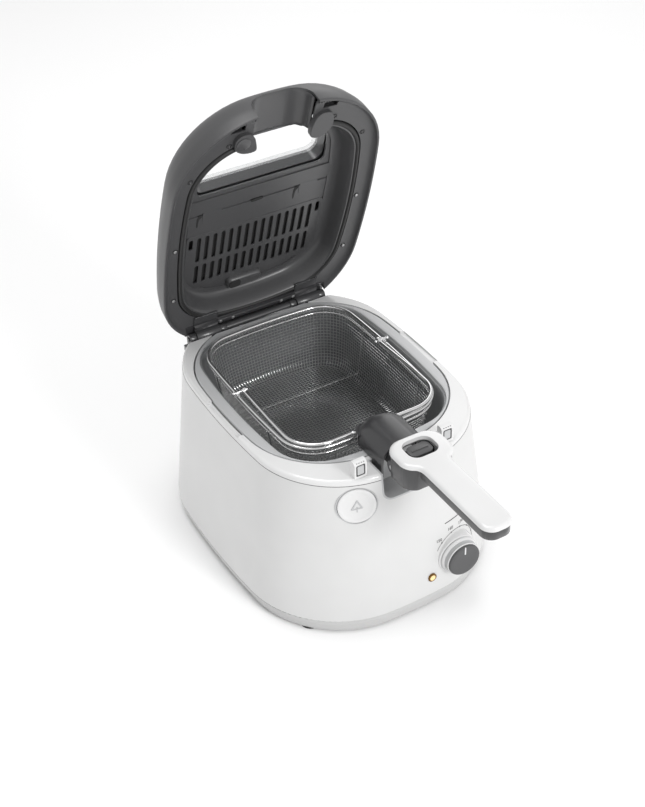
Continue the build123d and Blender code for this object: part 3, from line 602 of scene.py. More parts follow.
def lid_plate(name, outer, holes, w0, w1, slot="inner_grey", bevel=0.0):
    return plate(name, outer, holes, w0, w1, "lid", slot, OPEN, bevel)


def arch_profile(extra=0.0):
    """Section of the opening over the handle, from below the rim up to its round top."""
    half, top = ARCH_HALF + extra, ARCH_TOP + extra
    return round_box((-half, half), (-60.0, top), ARCH_CORNER)


def arch_cutter(back, extra=0.0):
    """The arch swept from before the lid to a value on Y."""
    return prism(arch_profile(extra), -back, 175.0, OPEN @ FRONT)


def window_cutter():
    return prism(round_box((-76, 76), (-111, -39), 14), CEILING, LID_TOP + 10, OPEN)


POST_X, POST_HALF, POST_FRONT, POST_BACK, POST_TOP = 50.0, 6.9, -155.4, -147.2, 206.0
POCKET_ROOM = 0.7


def pocket_cutter(side):
    """Room inside the lid's skin for one latch post, a little larger than the post."""
    top = POST_TOP - RIM_Z
    section = [(POST_FRONT - 0.4, -5.0), (POST_FRONT - 0.4, top - 3.8), (POST_FRONT, top - 2.1),
               (POST_FRONT + 0.6, top - 0.9), (POST_FRONT + 2.1, top + 0.3), (POST_FRONT + 4.0, top + 0.8),
               (POST_BACK + 1.4, top + 0.8), (POST_BACK + 1.4, -5.0)]
    along_x = Matrix(((0, 0, 1, 0), (1, 0, 0, 0), (0, 1, 0, 0), (0, 0, 0, 1)))
    return prism(section, *about(side * POST_X, POST_HALF + POCKET_ROOM), OPEN @ along_x)


HINGE_GAP = [(-86, 130), (86, 130), (86, 200), (-86, 200)]
LID_CUTS = [arch_cutter(-118.0), prism(HINGE_GAP, -5, 9, OPEN), pocket_cutter(-1), pocket_cutter(1)]


def make_lid_shell():
    """Domed skin with its wall, open at the top plate, the arch, the hinge and the latch posts."""
    levels = [0.25, 1, 3, *range(6, 31, 4), 33, 36, 38, 40, 42, 43.5, 45, 46.5, 47.5, 48.5, 49.3, 49.8,
              LID_TOP]
    shrinks = [max(dome_shrink(w), 0.0) for w in levels]
    outer = [lid_ring(shrink, w) for shrink, w in zip(shrinks, levels)]
    outer[0] = lid_ring(shrinks[0] + 0.3, levels[0])
    inner = [lid_ring(shrink + LID_WALL, min(w, LID_TOP - LID_WALL), LID_REAR - LID_WALL)
             for shrink, w in zip(shrinks, levels)]
    rim = [lid_ring(LID_WALL - 0.8, 0.0, LID_REAR - LID_WALL / 2)]
    shell = lid_loft("lid_dome", list(reversed(inner)) + rim + outer, "lid_grey", loop=True)
    cut_away(shell, LID_CUTS + [window_cutter()])
    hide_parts("lid_shell")


def make_lid_top():
    """Flat top of the dome with the window opening and steam slots."""
    top = [(x, y) for x, y, _ in lid_ring(dome_shrink(LID_TOP), LID_TOP)]
    slots = [round_box(about(x, 2.2), (60, 92), 2.1, steps=4) for x in range(-50, 51, 10)]
    cover = lid_plate("lid_top", top, slots, LID_TOP - LID_WALL, LID_TOP, "lid_grey")
    cut_away(cover, [window_cutter()])


def make_flange():
    """Dished ring from the rim to the seal."""
    outer = lid_ring(2.4, 0.4)
    inner = [(x, min(y, LID_REAR), w) for x, y, w in liner_ring(6.6, 0.4)]
    steps = [(0.0, 0.4), (0.03, 1.6), (0.08, 3.0), (0.16, 4.2), (0.3, 5.1), (0.5, 5.7), (0.75, 6.0),
             (0.97, 6.0), (1.0, 7.6)]
    rings = [[(x, y, w) for x, y, _ in mix_rings(outer, inner, t)] for t, w in steps]
    flange = lid_loft("lid_flange", rings, "lid_grey")
    thicken(flange, 1.6, 1.0)
    cut_away(flange, LID_CUTS)
    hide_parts("lid_frame")


def make_seal():
    """Dark rubber bead round the inner tray, with a gap at the arch."""
    section = [(6.0, 7.4), (5.9, 6.2), (5.2, 5.0), (3.9, 4.4), (2.6, 4.6), (1.6, 5.6), (1.2, 7.4)]
    seal = lid_loft("lid_bead", [liner_ring(grow, w) for grow, w in section], "seal", loop=True)
    cut_away(seal, [arch_cutter(-100.0, 1.0)])
    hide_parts("lid_seal")


def make_inner_wall():
    """Wall of the inner tray, with a round lower edge and a cove up to the ceiling."""
    section = [(1.4, 7.7), (1.1, 7.1), (0.7, 7.1), (0.3, 7.7), (-0.7, 10.0), (-2.3, 15.0), (-3.8, 21.0),
               (-5.2, 25.5), (-7.6, 28.4), (-10.8, 29.7), (-14.0, CEILING)]
    wall = lid_loft("lid_inner_wall", [liner_ring(grow, w) for grow, w in section], "inner_grey")
    thicken(wall, 1.2, 1.0)
    cut_away(wall, [arch_cutter(-100.0, 0.3)])
    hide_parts("lid_liner")


def make_ceiling():
    """Ceiling of the inner tray, open at the window and the grille."""
    edge = [(x, y) for x, y, _ in liner_ring(-13.8, CEILING)]
    window = round_box(*WINDOW, 7, 38)
    grille = round_box((-79, 79), (17, 93), 3)
    lid_plate("lid_ceiling", edge, [window, grille], CEILING, CEILING + 1.9)


def make_filter_panel():
    """Removable cover with two rows of slots, its plain upper part, and the dark mat behind it."""
    rows = ((19.0, 56.5), (62.3, 91.0))
    pitch, width, columns = 9.4, 4.6, 15
    middle = (columns - 1) / 2
    slots = [((column - middle) * pitch, row) for row in rows for column in range(columns)]
    slots += [(side * (middle + 1) * pitch, (19.0, 34.0)) for side in (-1, 1)]
    holes = [round_box(about(x, width / 2), row, width / 2 - 0.02, steps=4) for x, row in slots]
    face = round_box((-80.5, 80.5), (14.0, 99.0), 4)
    grille = lid_plate("filter_grille", face, holes, 28.4, CEILING, bevel=0.35)
    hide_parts("filter_cover")
    lip = round_box((-80.5, 80.5), (-14.0, 14.5), 1.5)
    lid_plate("filter_panel_top", lip, [], 28.9, CEILING, bevel=0.5)
    lid_plate("filter_backing", round_box((-78.5, 78.5), (17.5, 92.5), 3), [], 35.0, 36.0, BLACK_SLOT)


# Outlines of the pads, which differ as the picture shows them.
LOBES = {
    "left": [(-53, -143), (-54.5, -126), (-44, -118), (-31, -117.0), (-28.6, -121), (-34.5, -143)],
    "right": [(53, -143), (56, -123), (47, -112.5), (36, -111), (28.6, -117), (34.5, -143)],
}


def make_lobes():
    """Thick pads beside the arch, the left one with a round boss."""
    for name, points in LOBES.items():
        lid_plate("lid_lobe_" + name, soft_polygon(points, 2), [], 1.6, 8.0, "lid_grey", 0.9)
    profile = [(0.001, -0.9), (6.5, -0.9), (7.6, -0.2), (7.9, 1.0), (7.9, 2.2)]
    turned("lobe_boss", profile, "lid", "lid_grey", OPEN @ Matrix.Translation((-45.0, -131.5, 1.2)), 40)


def make_rim_teeth():
    """Row of six small teeth on the rim at each side of the arch."""
    for name, side in SIDES.items():
        for tooth in range(6):
            x = side * (34.5 + tooth * 2.9)
            bar = round_box(about(x, 0.75), about(-159.6 + abs(x) * 0.02, 1.2), 0.5, steps=3)
            lid_plate("rim_tooth_%d_%s" % (tooth, name), bar, [], 0.7, 3.4, "knob_grey", 0.2)


def make_vault():
    """Smooth throat over the arch, from the front skin back to the window."""
    profile = [(x, w) for x, w in arch_profile(0.15) if w > 2.0]
    profile.sort(key=lambda p: atan2(p[1] - 4.0, p[0]))
    low_edge = [(-158.6, 2), (-156.0, 2), (-150.0, 2), (-140.0, 2), (-130.0, 2), (-122.0, 4), (-117.5, 10),
                (-113.5, 20), (-109.6, 28)]
    rings = [[(x, y, max(low, min(w, CEILING + 0.1))) for x, w in profile] for y, low in low_edge]
    vault = lid_loft("lid_vault", rings, "inner_grey", closed=False, sharp=60)
    thicken(vault, 1.4, 1.0)


def make_hook_slits():
    """Slits drawn as near-black plates of painted shade, with a tongue each, a thin ledge and a centre lug along
    the filter panel's upper part.
    """
    slit = [(-1.0, -15.0), (5.0, -15.0), (4.0, -11.5), (1.2, -9.0), (0.6, 2.0), (-0.8, 2.0)]
    for name, left in (("left", -70.0), ("right", 42.0)):
        outer = soft_polygon([(left + x, y) for x, y in slit], 1)
        # The slit is a near-black plate: painted shade for the opening.
        lid_plate("panel_slit_shade_" + name, outer, [], 28.6, 29.4, BLACK_SLOT)
        tongue = round_box((left + 5.5, left + 27), (-17.5, -3), 1.5)
        lid_plate("panel_tongue_" + name, tongue, [], 28.5, 29.6, bevel=0.3)
    lug = soft_polygon([(-10, -16), (4, -17), (5, -13.5), (-9, -12.5)], 1)
    lid_plate("panel_lug", lug, [], 27.9, 29.6, BLACK_SLOT, 0.2)
    lid_plate("panel_ledge", round_box((-84, 84), (-36.5, -17.5), 2), [], 28.6, 30.2, bevel=0.6)


def make_tab():
    """Finger tab below the grille: a block with rolled edges, and a near-black plate in its pocket as painted
    shade.
    """
    rings = []
    for inset, w in ((0.0, CEILING), (0.4, 27.0), (1.5, 24.6), (3.2, 23.4), (5.0, 23.2)):
        x, y = (-27 + inset, 15 - inset), (99.0 + inset, 115.0 - inset * 0.8)
        rings.append(at(round_box(x, y, 5.0 - inset * 0.6), w))
    lid_loft("filter_tab", rings, "inner_grey", caps=(False, True))
    # Near-black plate laid in the tab's recess: painted shade.
    lid_plate("filter_tab_pocket_shade", round_box((-25, -12), (102, 112), 3), [], 22.7, 23.6, BLACK_SLOT, 0.3)


# ---- housing --------------------
DECK_Y = 135.4


def make_collar():
    """Rolled light flange between the groove and the bowl's mouth."""
    outer = outline(113.4, 137.4, 6.0)
    inner = outline(101.3, 126.8, 5.0, (0.085, 0.085), 0.50)
    steps = [(0.0, 183.6), (0.0, 185.6), (0.04, 186.6), (0.12, 186.95), (0.35, 186.9), (0.6, 186.75),
             (0.85, 186.9), (0.95, 186.6), (1.0, 185.6), (1.0, 183.6)]
    rings = []
    for t, z in steps:
        ring = mix_rings(at(outer, z), at(inner, z), t)
        rings.append([(x, min(y, DECK_Y), z) for x, y, _ in ring])
    collar = loft("bowl_rim_roll", rings, "body", "light_grey")
    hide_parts("bowl_collar")


def make_bowl():
    """Coated bowl with a rolled lip, tapering walls and a wide fillet to its floor."""
    def ring(inset, z):
        shape = outline(101.0 - inset, 126.5 - inset, 5.0, (0.085, 0.085), 0.50)
        return [(x, min(y, DECK_Y - 0.4), z) for x, y in shape]

    lip = [(-7.0, 182.0), (-7.0, 182.9), (-1.0, 182.95), (0.6, 182.7), (1.1, 181.6)]
    wall_inset, wall_top, wall_taper, wall_height = 1.4, 178.0, 10.6, 96.0
    section = lip + [(wall_inset, wall_top)]
    for k in range(1, 9):
        t = k / 8
        section.append((wall_inset + t ** 1.3 * wall_taper, wall_top - t * wall_height))
    section += fillet(*section[-1], 18.0, 8) + [(50.0, 63.9), (80.0, 63.9)]
    rings = [ring(inset, z) for inset, z in section]
    bowl = loft("coated_bowl", rings, "body", "nonstick", caps=(False, True))
    thicken(bowl, 1.5, 1.0)
    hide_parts("oil_bowl")


# ---- basket --------------------
BASKET_HALF, BASKET_Y, BASKET_TAPER = (88.5, 112.5), 10.0, 9.0
BASKET_SAG, BASKET_CORNER = (0.045, 0.045), 0.44
MESH_PITCH, MESH_WIRE, GIRTH = 3.5, 0.36, 660
WEAVE = MESH_WIRE * 0.8
RIM_CENTRE_Z, FLOOR_Z, FLOOR_FILLET = 189.0, 124.6, 9.0


def basket_outline(inset, count=None):
    """Plan of the basket, with its points spaced evenly where a count is given."""
    ring = outline(BASKET_HALF[0] - inset, BASKET_HALF[1] - inset, BASKET_Y, BASKET_SAG, BASKET_CORNER, 12, 16)
    return resample(ring, count) if count else ring


def resample(ring, count):
    """Points at equal spacing round a closed ring."""
    points = [Vector(p) for p in ring] + [Vector(ring[0])]
    lengths = [0.0]
    for a, b in zip(points, points[1:]):
        lengths.append(lengths[-1] + (b - a).length)
    result, i = [], 0
    for k in range(count):
        want = lengths[-1] * k / count
        while lengths[i + 1] < want:
            i += 1
        t = (want - lengths[i]) / (lengths[i + 1] - lengths[i])
        point = points[i].lerp(points[i + 1], t)
        result.append((point.x, point.y))
    return result


def wall_profile():
    """Inset and height pairs down the tub's wall and round its lower edge, one for each row of wire."""
    drop = RIM_CENTRE_Z - FLOOR_Z - FLOOR_FILLET
    rows = round(drop / MESH_PITCH)
    profile = [(0.6 + BASKET_TAPER * k / rows, RIM_CENTRE_Z - drop * k / rows) for k in range(rows + 1)]
    return profile + fillet(*profile[-1], FLOOR_FILLET, 4)


def chord(ring, axis, place):
    """Where a line at a place on one axis crosses a closed ring, as values on the other axis."""
    hits = []
    for a, b in zip(ring, ring[1:] + ring[:1]):
        da, db = a[axis] - place, b[axis] - place
        if (da <= 0) != (db <= 0):
            t = da / (da - db)
            hits.append(a[1 - axis] + (b[1 - axis] - a[1 - axis]) * t)
    return (min(hits), max(hits)) if len(hits) > 1 else (0.0, 0.0)


def floor_wire(floor, axis, k):
    """Points of one wire of the crossed floor, or none where it would be too short."""
    place = k * MESH_PITCH + (BASKET_Y if axis else 0.0)
    low, high = chord(floor, axis, place)
    if high - low < 2 * MESH_PITCH:
        return []
    steps = max(2, round((high - low) / MESH_PITCH))
    points = []
    for s in range(steps + 1):
        along = low + (high - low) * s / steps
        z = FLOOR_Z + WEAVE * (1 if (s + k + axis) % 2 else -1)
        points.append((along, place, z) if axis else (place, along, z))
    return points


def make_basket_mesh():
    """Woven wire: rows round the wall, uprights, and a crossed floor."""
    bm = bmesh.new()
    profile = wall_profile()
    count = 2 * round(GIRTH / MESH_PITCH / 2)
    table = [basket_outline(inset, count) for inset, _ in profile]
    centre = Vector((0.0, BASKET_Y))

    def crossing(row, i, side):
        """Point of the weave, pushed outwards and inwards by turns."""
        point = Vector(table[row][i])
        away = (point - centre).normalized() * WEAVE * (side if (i + row) % 2 else -side)
        return point.x + away.x, point.y + away.y, profile[row][1]

    for row in range(1, len(profile)):
        add_tube(bm, [crossing(row, i, 1) for i in range(count)], MESH_WIRE, 4, True)
    for i in range(count):
        add_tube(bm, [crossing(row, i, -1) for row in range(len(profile))], MESH_WIRE, 4)
    floor = [Vector(p) for p in table[-1]]
    reach = (max(p.x for p in floor), max(p.y for p in floor) - BASKET_Y)
    for axis in (0, 1):
        span = int(reach[axis] / MESH_PITCH)
        for k in range(-span, span + 1):
            points = floor_wire(floor, axis, k)
            if points:
                add_tube(bm, points, MESH_WIRE, 4)
    mesh = finish_mesh(bm, "basket_weave", "basket", "steel", sharp=60)
    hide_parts("basket_mesh")


def make_stay_ring():
    """Second ring on the tub just below its rim."""
    bm = bmesh.new()
    points = [(x, y, RIM_CENTRE_Z - 7.0) for x, y in basket_outline(0.4)]
    add_tube(bm, points, 1.1, 8, True)
    finish_mesh(bm, "basket_stay_ring", "basket", "chrome", sharp=60)


# ---- front controls --------------------
KNOB = Matrix.Translation((51.0, box_mm("knob_skirt")[1][1] + 0.6, 54.0)) @ FRONT
BUTTON_NORMAL = -Vector(joints["lid_button_press"]["axis"]).normalized()
BUTTON_POINT = Vector((-57.8, -159.71, 157.3))


def facing(point, normal):
    """Matrix that turns +Z to a normal and +Y to upwards, at a point."""
    side = Vector((0, 0, 1)).cross(normal).normalized()
    turn = Matrix((side, normal.cross(side), normal)).transposed().to_4x4()
    return Matrix.Translation(point) @ turn


def make_knob():
    """Ring, fluted side, white edge, dark face and pointer."""
    base = [(12.0, 0.6), (20.9, 0.6), (21.5, 1.1), (21.5, 3.2), (20.9, 4.0), (19.9, 4.05), (12.0, 4.05)]
    ring = turned("knob_base_ring", base, "knob", "gloss_white", KNOB, 96)
    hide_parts("knob_skirt")
    side = [(12.0, 4.05), (19.5, 4.05), (19.6, 4.4), (19.6, 8.1), (19.4, 8.5), (12.0, 8.5)]
    turned("knob_fluted_side", side, "knob", "light_grey", KNOB, 720, ribs=(90, 0.55, 4.3, 8.2))
    edge = [(12.0, 8.5), (19.2, 8.5), (19.5, 8.8), (19.4, 9.3), (18.7, 9.6), (12.0, 9.6)]
    turned("knob_white_edge", edge, "knob", "gloss_white", KNOB, 96)
    cap = [(18.2, 9.0), (18.55, 9.4), (18.55, 11.3), (18.0, 12.1), (16.6, 12.45), (13.0, 12.2), (7.0, 12.05),
           (0.001, 12.0)]
    face = turned("knob_face", cap, "knob", "knob_grey", KNOB, 96)
    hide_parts("knob_cap")
    line = round_box((-0.75, 0.75), (8.2, 17.9), 0.7, steps=3)
    mark = plate("knob_line", line, [], 11.8, 12.75, "knob", "gloss_white", KNOB, 0.15)
    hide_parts("knob_pointer")


def wrap_on_wall(bm, proud):
    """Lay a flat bmesh, drawn with its height on Y, onto the front wall."""
    wall = BVHTree.FromObject(nodes["outer_shell"], bpy.context.evaluated_depsgraph_get())
    for vert in bm.verts:
        x, z = vert.co.x, vert.co.y
        hit = wall.ray_cast(Vector((x, -400, z)) * MM, Vector((0, 1, 0)))[0]
        vert.co = Vector((x, hit.y / MM - proud, z))


def print_stroke(bm, points, width):
    """Flat stroke through points."""
    left, right = [], []
    for i, (x, y) in enumerate(points):
        a = points[max(i - 1, 0)]
        b = points[min(i + 1, len(points) - 1)]
        along = Vector((b[0] - a[0], b[1] - a[1])).normalized()
        off = Vector((-along.y, along.x)) * width / 2
        left.append((x + off.x, y + off.y, 0))
        right.append((x - off.x, y - off.y, 0))
    add_skin(bm, [left, right], closed=False)


def print_disc(bm, x, y, radius):
    bm.faces.new([bm.verts.new(point) for point in at(circle((x, y), radius, 16), 0)])


DIAL_CENTRE, DIAL_RADIUS, DIAL_SWEEP, DIGIT_SIZE = Vector((51.0, 53.5)), 28.0, 150, 5.0
DIAL_MARKS = [(130, "150"), (100, "160"), (73, "170"), (46, "180"), (16, "190")]


def on_dial(degrees, radius):
    a = radians(degrees)
    return DIAL_CENTRE + radius * Vector((cos(a), sin(a)))


def add_text(bm, text, x, y, size):
    """Flat digits from the built-in font, centred on a point."""
    curve = bpy.data.curves.new("digits", "FONT")
    curve.body = text
    curve.size = size
    curve.offset = 0.06
    curve.align_x = curve.align_y = "CENTER"
    curve.resolution_u = 3
    holder = new_object("digits", curve)
    mesh = evaluated_mesh(holder)
    bpy.data.objects.remove(holder)
    mesh.transform(Matrix.Translation((x, y, 0)))
    bm.from_mesh(mesh)


def make_dial():
    """Printed scale round the knob: arc, dots and numbers, a dot below and a line above."""
    bm = bmesh.new()
    sweep = [on_dial(DIAL_SWEEP * (1 - k / 60), DIAL_RADIUS) for k in range(61)]
    print_stroke(bm, sweep, 0.6)
    for degrees, text in DIAL_MARKS:
        print_disc(bm, *on_dial(degrees, DIAL_RADIUS), 0.95)
        raised = Vector((0, 0.3 * sin(radians(degrees))))
        add_text(bm, text, *on_dial(degrees, DIAL_RADIUS + 5.2) + raised, DIGIT_SIZE)
    print_disc(bm, DIAL_CENTRE.x, DIAL_CENTRE.y - DIAL_RADIUS + 2.5, 1.1)
    rule = [(DIAL_CENTRE.x - 13 + 26 * k / 12, DIAL_CENTRE.y + 43.0) for k in range(13)]
    print_stroke(bm, rule, 1.1)
    wrap_on_wall(bm, 0.12)
    scale = finish_mesh(bm, "dial_print", "body", "knob_grey")
    thicken(scale, 0.1, 0.0)
    dress(scale, "knob_grey", "print")


def make_button():
    """Round button with a rolled edge and a raised arrow-like icon."""
    place = facing(BUTTON_POINT, BUTTON_NORMAL)
    profile = [(18.9, -5.0), (19.4, -4.4), (19.4, -0.1), (19.1, 0.5), (18.3, 0.78), (16.8, 0.75), (15.6, 0.35),
               (14.4, 0.0), (11.0, -0.15), (0.001, -0.2)]
    disc = turned("button_disc", profile, "button", "gloss_white", place, 96)
    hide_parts("lid_button")
    outer = round_corners([(-6.6, -4.6), (6.2, -3.4), (0.2, 7.2)], 1.3)
    inner = round_corners([(-4.0, -3.1), (3.8, -2.3), (0.1, 4.3)], 0.8)
    plate("button_icon", outer, [inner], -0.25, 0.3, "button", "light_grey", place, 0.1)
    stem = round_box((-0.6, 0.6), (-7.4, -1.0), 0.5, steps=3)
    plate("button_icon_stem", stem, [], -0.25, 0.25, "button", "light_grey", place, 0.1)


def make_hinge_barrel():
    """Dark barrel round the pins and springs, and the leaf that joins it to the lid."""
    place = Matrix.Translation(HINGE) @ Matrix.Rotation(radians(90), 4, "Y")
    profile = [(2.6, -39.8), (4.5, -39.8), (4.85, -39.4), (4.85, 39.4), (4.5, 39.8), (2.6, 39.8)]
    turned("hinge_barrel", profile, "bracket", "dark_grey", place, 40)
    leaf = round_box((-85.8, 85.8), (130.0, 144.5), 0.8)
    lid_plate("hinge_leaf", leaf, [], 4.2, 5.6, "dark_grey", 0.3)


SCREWS = [(-58, -130), (58, -130), (-96, -96), (96, -96), (-106, -1), (106, -1), (-103, 77), (103, 77)]


def make_lid_screws():
    """Small cross-head screws in shallow wells round the lid's ring, the wells in near-black as painted shade."""
    heads = bmesh.new()
    head = [(1.75, 6.2), (1.75, 5.0), (1.5, 4.75), (0.9, 4.62)]
    shaded_well_profile = [(1.9, 6.1), (1.9, 5.5), (2.7, 5.5), (3.0, 5.9), (3.0, 6.1)]
    for number, (x, y) in enumerate(SCREWS):
        rows = add_skin(heads, [at(circle((x, y), radius, 24), w) for radius, w in head])
        heads.faces.new(rows[-1])
        # Each well is turned in the near-black seal material: painted shade in the hollow.
        turned("screw_well_shade_%d" % number, shaded_well_profile, "lid", "seal", OPEN @ Matrix.Translation((x, y, 0)), 32)
    screws = finish_mesh(heads, "lid_ring_screws", "lid", "steel", OPEN)
    for half_x, half_y in ((1.1, 0.22), (0.22, 1.1)):
        bars = [round_box(about(x, half_x), about(y, half_y), 0.1, steps=2) for x, y in SCREWS]
        cut_away(screws, [prism(bar, 4.0, 5.1, OPEN) for bar in bars])
    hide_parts("lid_screws")


def make_hinge_screws():
    """Four domed heads in a row in front of the hinge."""
    head = [(0.001, -1.3), (1.4, -1.2), (2.1, -0.6), (2.2, 0.3)]
    for number, x in enumerate((-45.0, -30.0, 30.0, 45.0)):
        turned("hinge_screw_%d" % number, head, "lid", "steel", OPEN @ Matrix.Translation((x, 133.5, 1.2)), 24)


# ---- hood, handle and latches --------------------
HOOD_HALF, HOOD_TOP, HOOD_CORNER = 27.0, 212.0, 22.0
HOOD_FRONT, HOOD_NOSE, HOOD_BACK = -155.8, -120.0, -97.2
NOSE_NARROWING, NOSE_DROP = 9.0, 13.0
SCOOP_BACK, NOSE_UNDER = -138.0, -112.0
PIVOT = Vector(joints["handle_fold"]["pos_m"]) / MM
HANDLE_TOP = box_mm("handle_cover")[1][2]
RING_Y, RING_HALF, RING_CORNER = -184.0, (29.0, 23.0), 17.0
GRIP_HALF, GRIP_END, GRIP_CORNER = 16.5, -315.0, 13.0
COVER_HEIGHT = 5.0


def hood_section(y):
    """Arch of the hood at a value on Y; the nose rounds off in width and height."""
    t = max(0.0, (y - HOOD_NOSE) / (HOOD_BACK - HOOD_NOSE))
    fall = 1 - sqrt(max(0.0, 1 - t * t))
    half = HOOD_HALF - NOSE_NARROWING * fall
    top = HOOD_TOP - NOSE_DROP * fall
    low = 176.0 if y < SCOOP_BACK else (187.6 if y < NOSE_UNDER else 198.6)
    corner = min(HOOD_CORNER, half - 1)
    shape = [(half, top - corner - (top - corner - low) * k / 6) for k in range(6, 0, -1)]
    shape += arc((half - corner, top - corner), corner, 0, pi / 2, 14)
    shape += [(0.0, top)] + [(-x, z) for x, z in reversed(shape)]
    return [(x, y, max(z, low)) for x, z in shape]


def make_hood():
    """Smooth dark cowl over the bowl's front rim."""
    steps = [HOOD_FRONT, HOOD_FRONT + 0.4, -148.0, SCOOP_BACK - 0.05, SCOOP_BACK + 0.05, -130.0, HOOD_NOSE,
             -116.0, NOSE_UNDER - 0.05, NOSE_UNDER + 0.05, -109.0, -106.0, -103.0, -101.0, -99.5, -98.4,
             -97.6, HOOD_BACK]
    cowl = loft("hood_cowl", [hood_section(y) for y in steps], "body", "dark_grey", closed=False, sharp=50)
    thicken(cowl, 2.2)
    round_edges(cowl, 0.6)
    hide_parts("hood")


def make_hood_cheeks():
    """Two side plates that carry the handle's pin, inside the handle's shell."""
    cheeks = bmesh.new()
    shape = round_box((-176.5, -140.0), about(PIVOT.z, 8), 6.0)
    for side in SIDES.values():
        add_slab(cheeks, shape, *about(side * 17, 1.8))
    finish_mesh(cheeks, "hood_cheeks", "body", "dark_grey")


def handle_plan(inset):
    """Plan of the handle's cover: ring head, curved neck and long grip with a round end."""
    half, reach = RING_HALF[0] - inset, RING_HALF[1] - inset
    head = round_box((-half, half), about(RING_Y, reach), RING_CORNER - inset, steps=12)
    grip = GRIP_HALF - inset
    end = round_box((-grip, grip), (GRIP_END + inset, RING_Y), GRIP_CORNER - inset, steps=10)
    radius, leave = RING_CORNER - inset, radians(58)
    centre = Vector((half - radius, RING_Y - reach + radius))
    last = centre + radius * Vector((cos(leave), -sin(leave)))
    bend = Vector((grip, last.y - (last.x - grip) / tan(leave)))
    foot = bend - Vector((0, 9.0))
    neck = arc(centre, radius, 0, -leave, 8)
    neck += bend_points(last, bend, foot, 8)
    upper = [p for p in head if p[1] > centre.y + 0.01]
    lower = [p for p in end if p[1] < GRIP_END + inset + GRIP_CORNER + 0.5]
    left_neck = [(-x, y) for x, y in neck]
    return upper + left_neck + lower + list(reversed(neck))


def make_grip_cover():
    """White upper half of the handle, with rolled edges and a wide window in its ring head."""
    levels = [(0.0, 0.0), (0.0, 1.6), (0.25, 2.9), (0.9, 3.9), (1.9, 4.6), (3.2, 4.95), (4.5, COVER_HEIGHT)]
    base = HANDLE_TOP - COVER_HEIGHT
    rings = [at(handle_plan(inset), base + z) for inset, z in levels]
    cover = loft("grip_cover", rings, "handle", "gloss_white", caps=(True, True))
    window = round_box((-16.2, 16.2), (-195.5, -168.2), 10.0, steps=10)
    cut_away(cover, [prism(window, base - 1, HANDLE_TOP + 1)])
    round_edges(cover, 0.6)
    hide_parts("handle_cover")


def post_opening(side, inset, radius):
    """Outline of the slot in a post's front face, or of something an inset smaller."""
    width = about(side * POST_X, POST_HALF - 1.8 - inset)
    return round_box(width, (TRIM_TOP + 2.2 + inset, POST_TOP - 3.6 - inset), radius)


def make_latch_post(name, side):
    """Square post beside the scoop: rounded shell, dark slot frame, light pawl and four ridges."""
    x, low, top, front = side * POST_X, TRIM_TOP - 0.2, POST_TOP, POST_FRONT
    side_view = [(POST_BACK, low), (POST_BACK, top - 1.5), (POST_BACK - 1.5, top), (front + 4.0, top),
                 (front + 2.3, top - 0.35), (front + 0.9, top - 1.3), (front + 0.2, top - 2.6),
                 (front, top - 4.0), (front, low)]
    slab = bmesh.new()
    add_slab(slab, side_view, *about(x, POST_HALF))
    post = finish_mesh(slab, "latch_post_" + name, "body", "gloss_white", sharp=30)
    slot = post_opening(side, 0.0, 1.6)
    cut_away(post, [prism(slot, 149.0, 170.0, FRONT)])
    round_edges(post, 0.8)
    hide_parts("latch_housing_" + name)
    hole = post_opening(side, 1.2, 1.0)
    plate("latch_frame_" + name, slot, [hole], 150.0, -front - 0.3, "body", "dark_grey", FRONT)
    for ridge in range(4):
        bar = round_box(about(x + (ridge - 1.5) * 2.6, 0.8), (top - 3.2, top - 1.1), 0.5, steps=3)
        plate("latch_ridge_%d_%s" % (ridge, name), bar, [], 152.0, -front - 0.7, "body", "dark_grey", FRONT)
    face = post_opening(side, 1.5, 1.2)
    body = "catch_" + name
    pawl = plate("latch_pawl_" + name, face, [], 152.2, -front - 0.1, body, "light_grey", FRONT, 0.8)
    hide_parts("latch_bolt_" + name)


def make_latch_posts():
    for name, side in SIDES.items():
        make_latch_post(name, side)


def make_seam(name, half, z0, z1, slope):
    """Fine dark line round the housing, a slope narrower at its lower edge."""
    low, high, inner = (outline(half[0] - cut, half[1] - cut, side_steps=40, corner_steps=40)
                        for cut in (slope, 0.0, 0.8))
    rings = [at(low, z0), at(high, z1), at(inner, z1), at(inner, z0)]
    return loft(name, rings, "body", "knob_grey", loop=True)


def make_seams():
    """Joints of the shell with the base pan and with the top trim."""
    make_seam("base_joint", [half - 0.01 for half in SEAM_HALF], SEAM_Z - 0.9, SEAM_Z - 0.1, 0.2)
    low, high = SHELL_TOP - 0.3, SHELL_TOP + 0.25
    line = make_seam("trim_joint", [half + 0.14 for half in housing_half(SHELL_TOP)], low, high, 0.0)
    gap = round_box((-32, 32), (-200, -130), 1.0)
    deck = round_box((-95, 95), (136, 200), 1.0)
    cut_away(line, [prism(place, low - 1, high + 1) for place in (gap, deck)])


for build in (make_lid_shell, make_lid_top, make_flange, make_seal, make_inner_wall, make_ceiling,
              make_filter_panel, make_lobes, make_rim_teeth, make_vault, make_hook_slits, make_tab,
              make_collar, make_bowl, make_basket_mesh, make_stay_ring, make_knob, make_dial, make_button,
              make_hinge_barrel, make_hinge_screws, make_lid_screws, make_hood, make_hood_cheeks,
              make_grip_cover, make_latch_posts, make_seams):
    build()


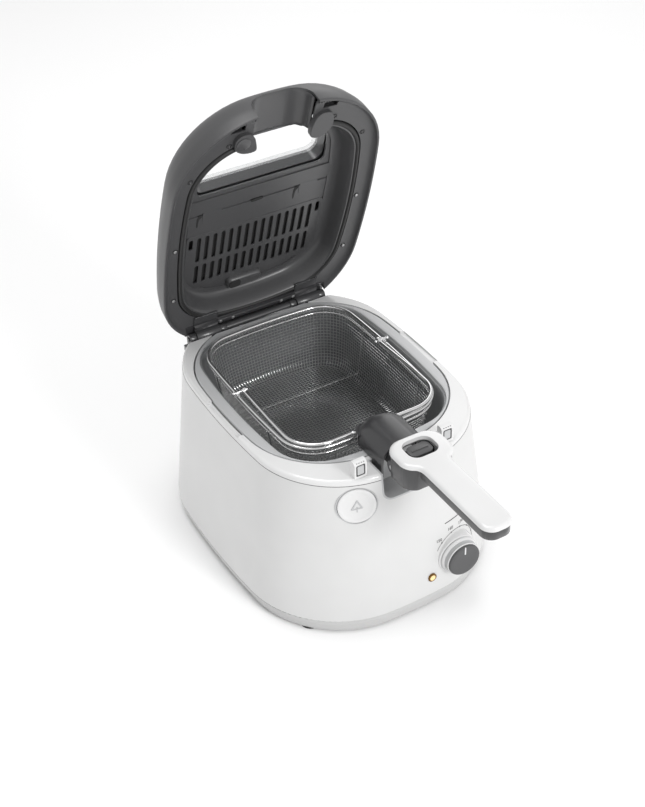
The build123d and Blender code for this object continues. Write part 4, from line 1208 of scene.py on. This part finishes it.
# ---- stage, light and camera --------------------
def make_stage():
    """Pale floor under the feet."""
    bpy.ops.mesh.primitive_plane_add(size=14, location=(0, 0, cad_bounds[0][2]))
    floor = bpy.context.object
    floor.name = "floor"
    paper = new_material("pale_floor", (0.95, 0.95, 0.95), 0.9)
    vary(paper, link_noise(paper, 3, 2), "Roughness", 0.85, 0.95)
    floor.data.materials.append(paper)


def area_light(name, place, aim, size, power):
    """Rectangular lamp turned towards a point."""
    light = bpy.data.lights.new(name, "AREA")
    light.shape = "RECTANGLE"
    light.size, light.size_y = size
    light.energy = power
    lamp = new_object(name, light)
    lamp.location = place
    lamp.rotation_euler = (Vector(aim) - Vector(place)).to_track_quat("-Z", "Y").to_euler()


def make_lights():
    """Bright even studio: white surroundings, a key light from the front and softer ones above and behind."""
    bpy.context.scene.view_settings.view_transform = "Standard"
    world = bpy.data.worlds.new("studio")
    bpy.context.scene.world = world
    world.use_nodes = True
    set_sockets(world.node_tree.nodes["Background"], Color=(1, 1, 1, 1), Strength=0.70)
    centre = (0, 0, 0.18)
    area_light("key", (0.35, -1.9, 1.0), (0.0, -0.1, 0.14), (0.5, 0.6), 19)
    area_light("top", (-0.2, 0.3, 2.2), centre, (1.4, 1.0), 17)
    area_light("rim", (1.2, 1.4, 1.2), centre, (0.9, 0.9), 3)


VIEW_AZIMUTH, VIEW_ELEVATION, VIEW_DISTANCE = -32.99, 37.95, 1.5672
VIEW_TARGET = Vector((0.0661, -0.0494, 0.138))
LENS, LENS_SHIFT = 66.1, (-0.0991, 0.0204)


def make_camera():
    """Viewing direction and distance of the picture, with its small shift."""
    azimuth, elevation = radians(VIEW_AZIMUTH), radians(VIEW_ELEVATION)
    level = cos(elevation)
    back = Vector((sin(azimuth) * level, -cos(azimuth) * level, sin(elevation)))
    data = bpy.data.cameras.new("camera")
    data.sensor_width = 36
    data.lens = LENS
    data.shift_x, data.shift_y = LENS_SHIFT
    camera = new_object("camera", data)
    camera.location = VIEW_TARGET + back * VIEW_DISTANCE
    camera.rotation_euler = (-back).to_track_quat("-Z", "Y").to_euler()
    bpy.context.scene.camera = camera


make_stage()
make_lights()
make_camera()
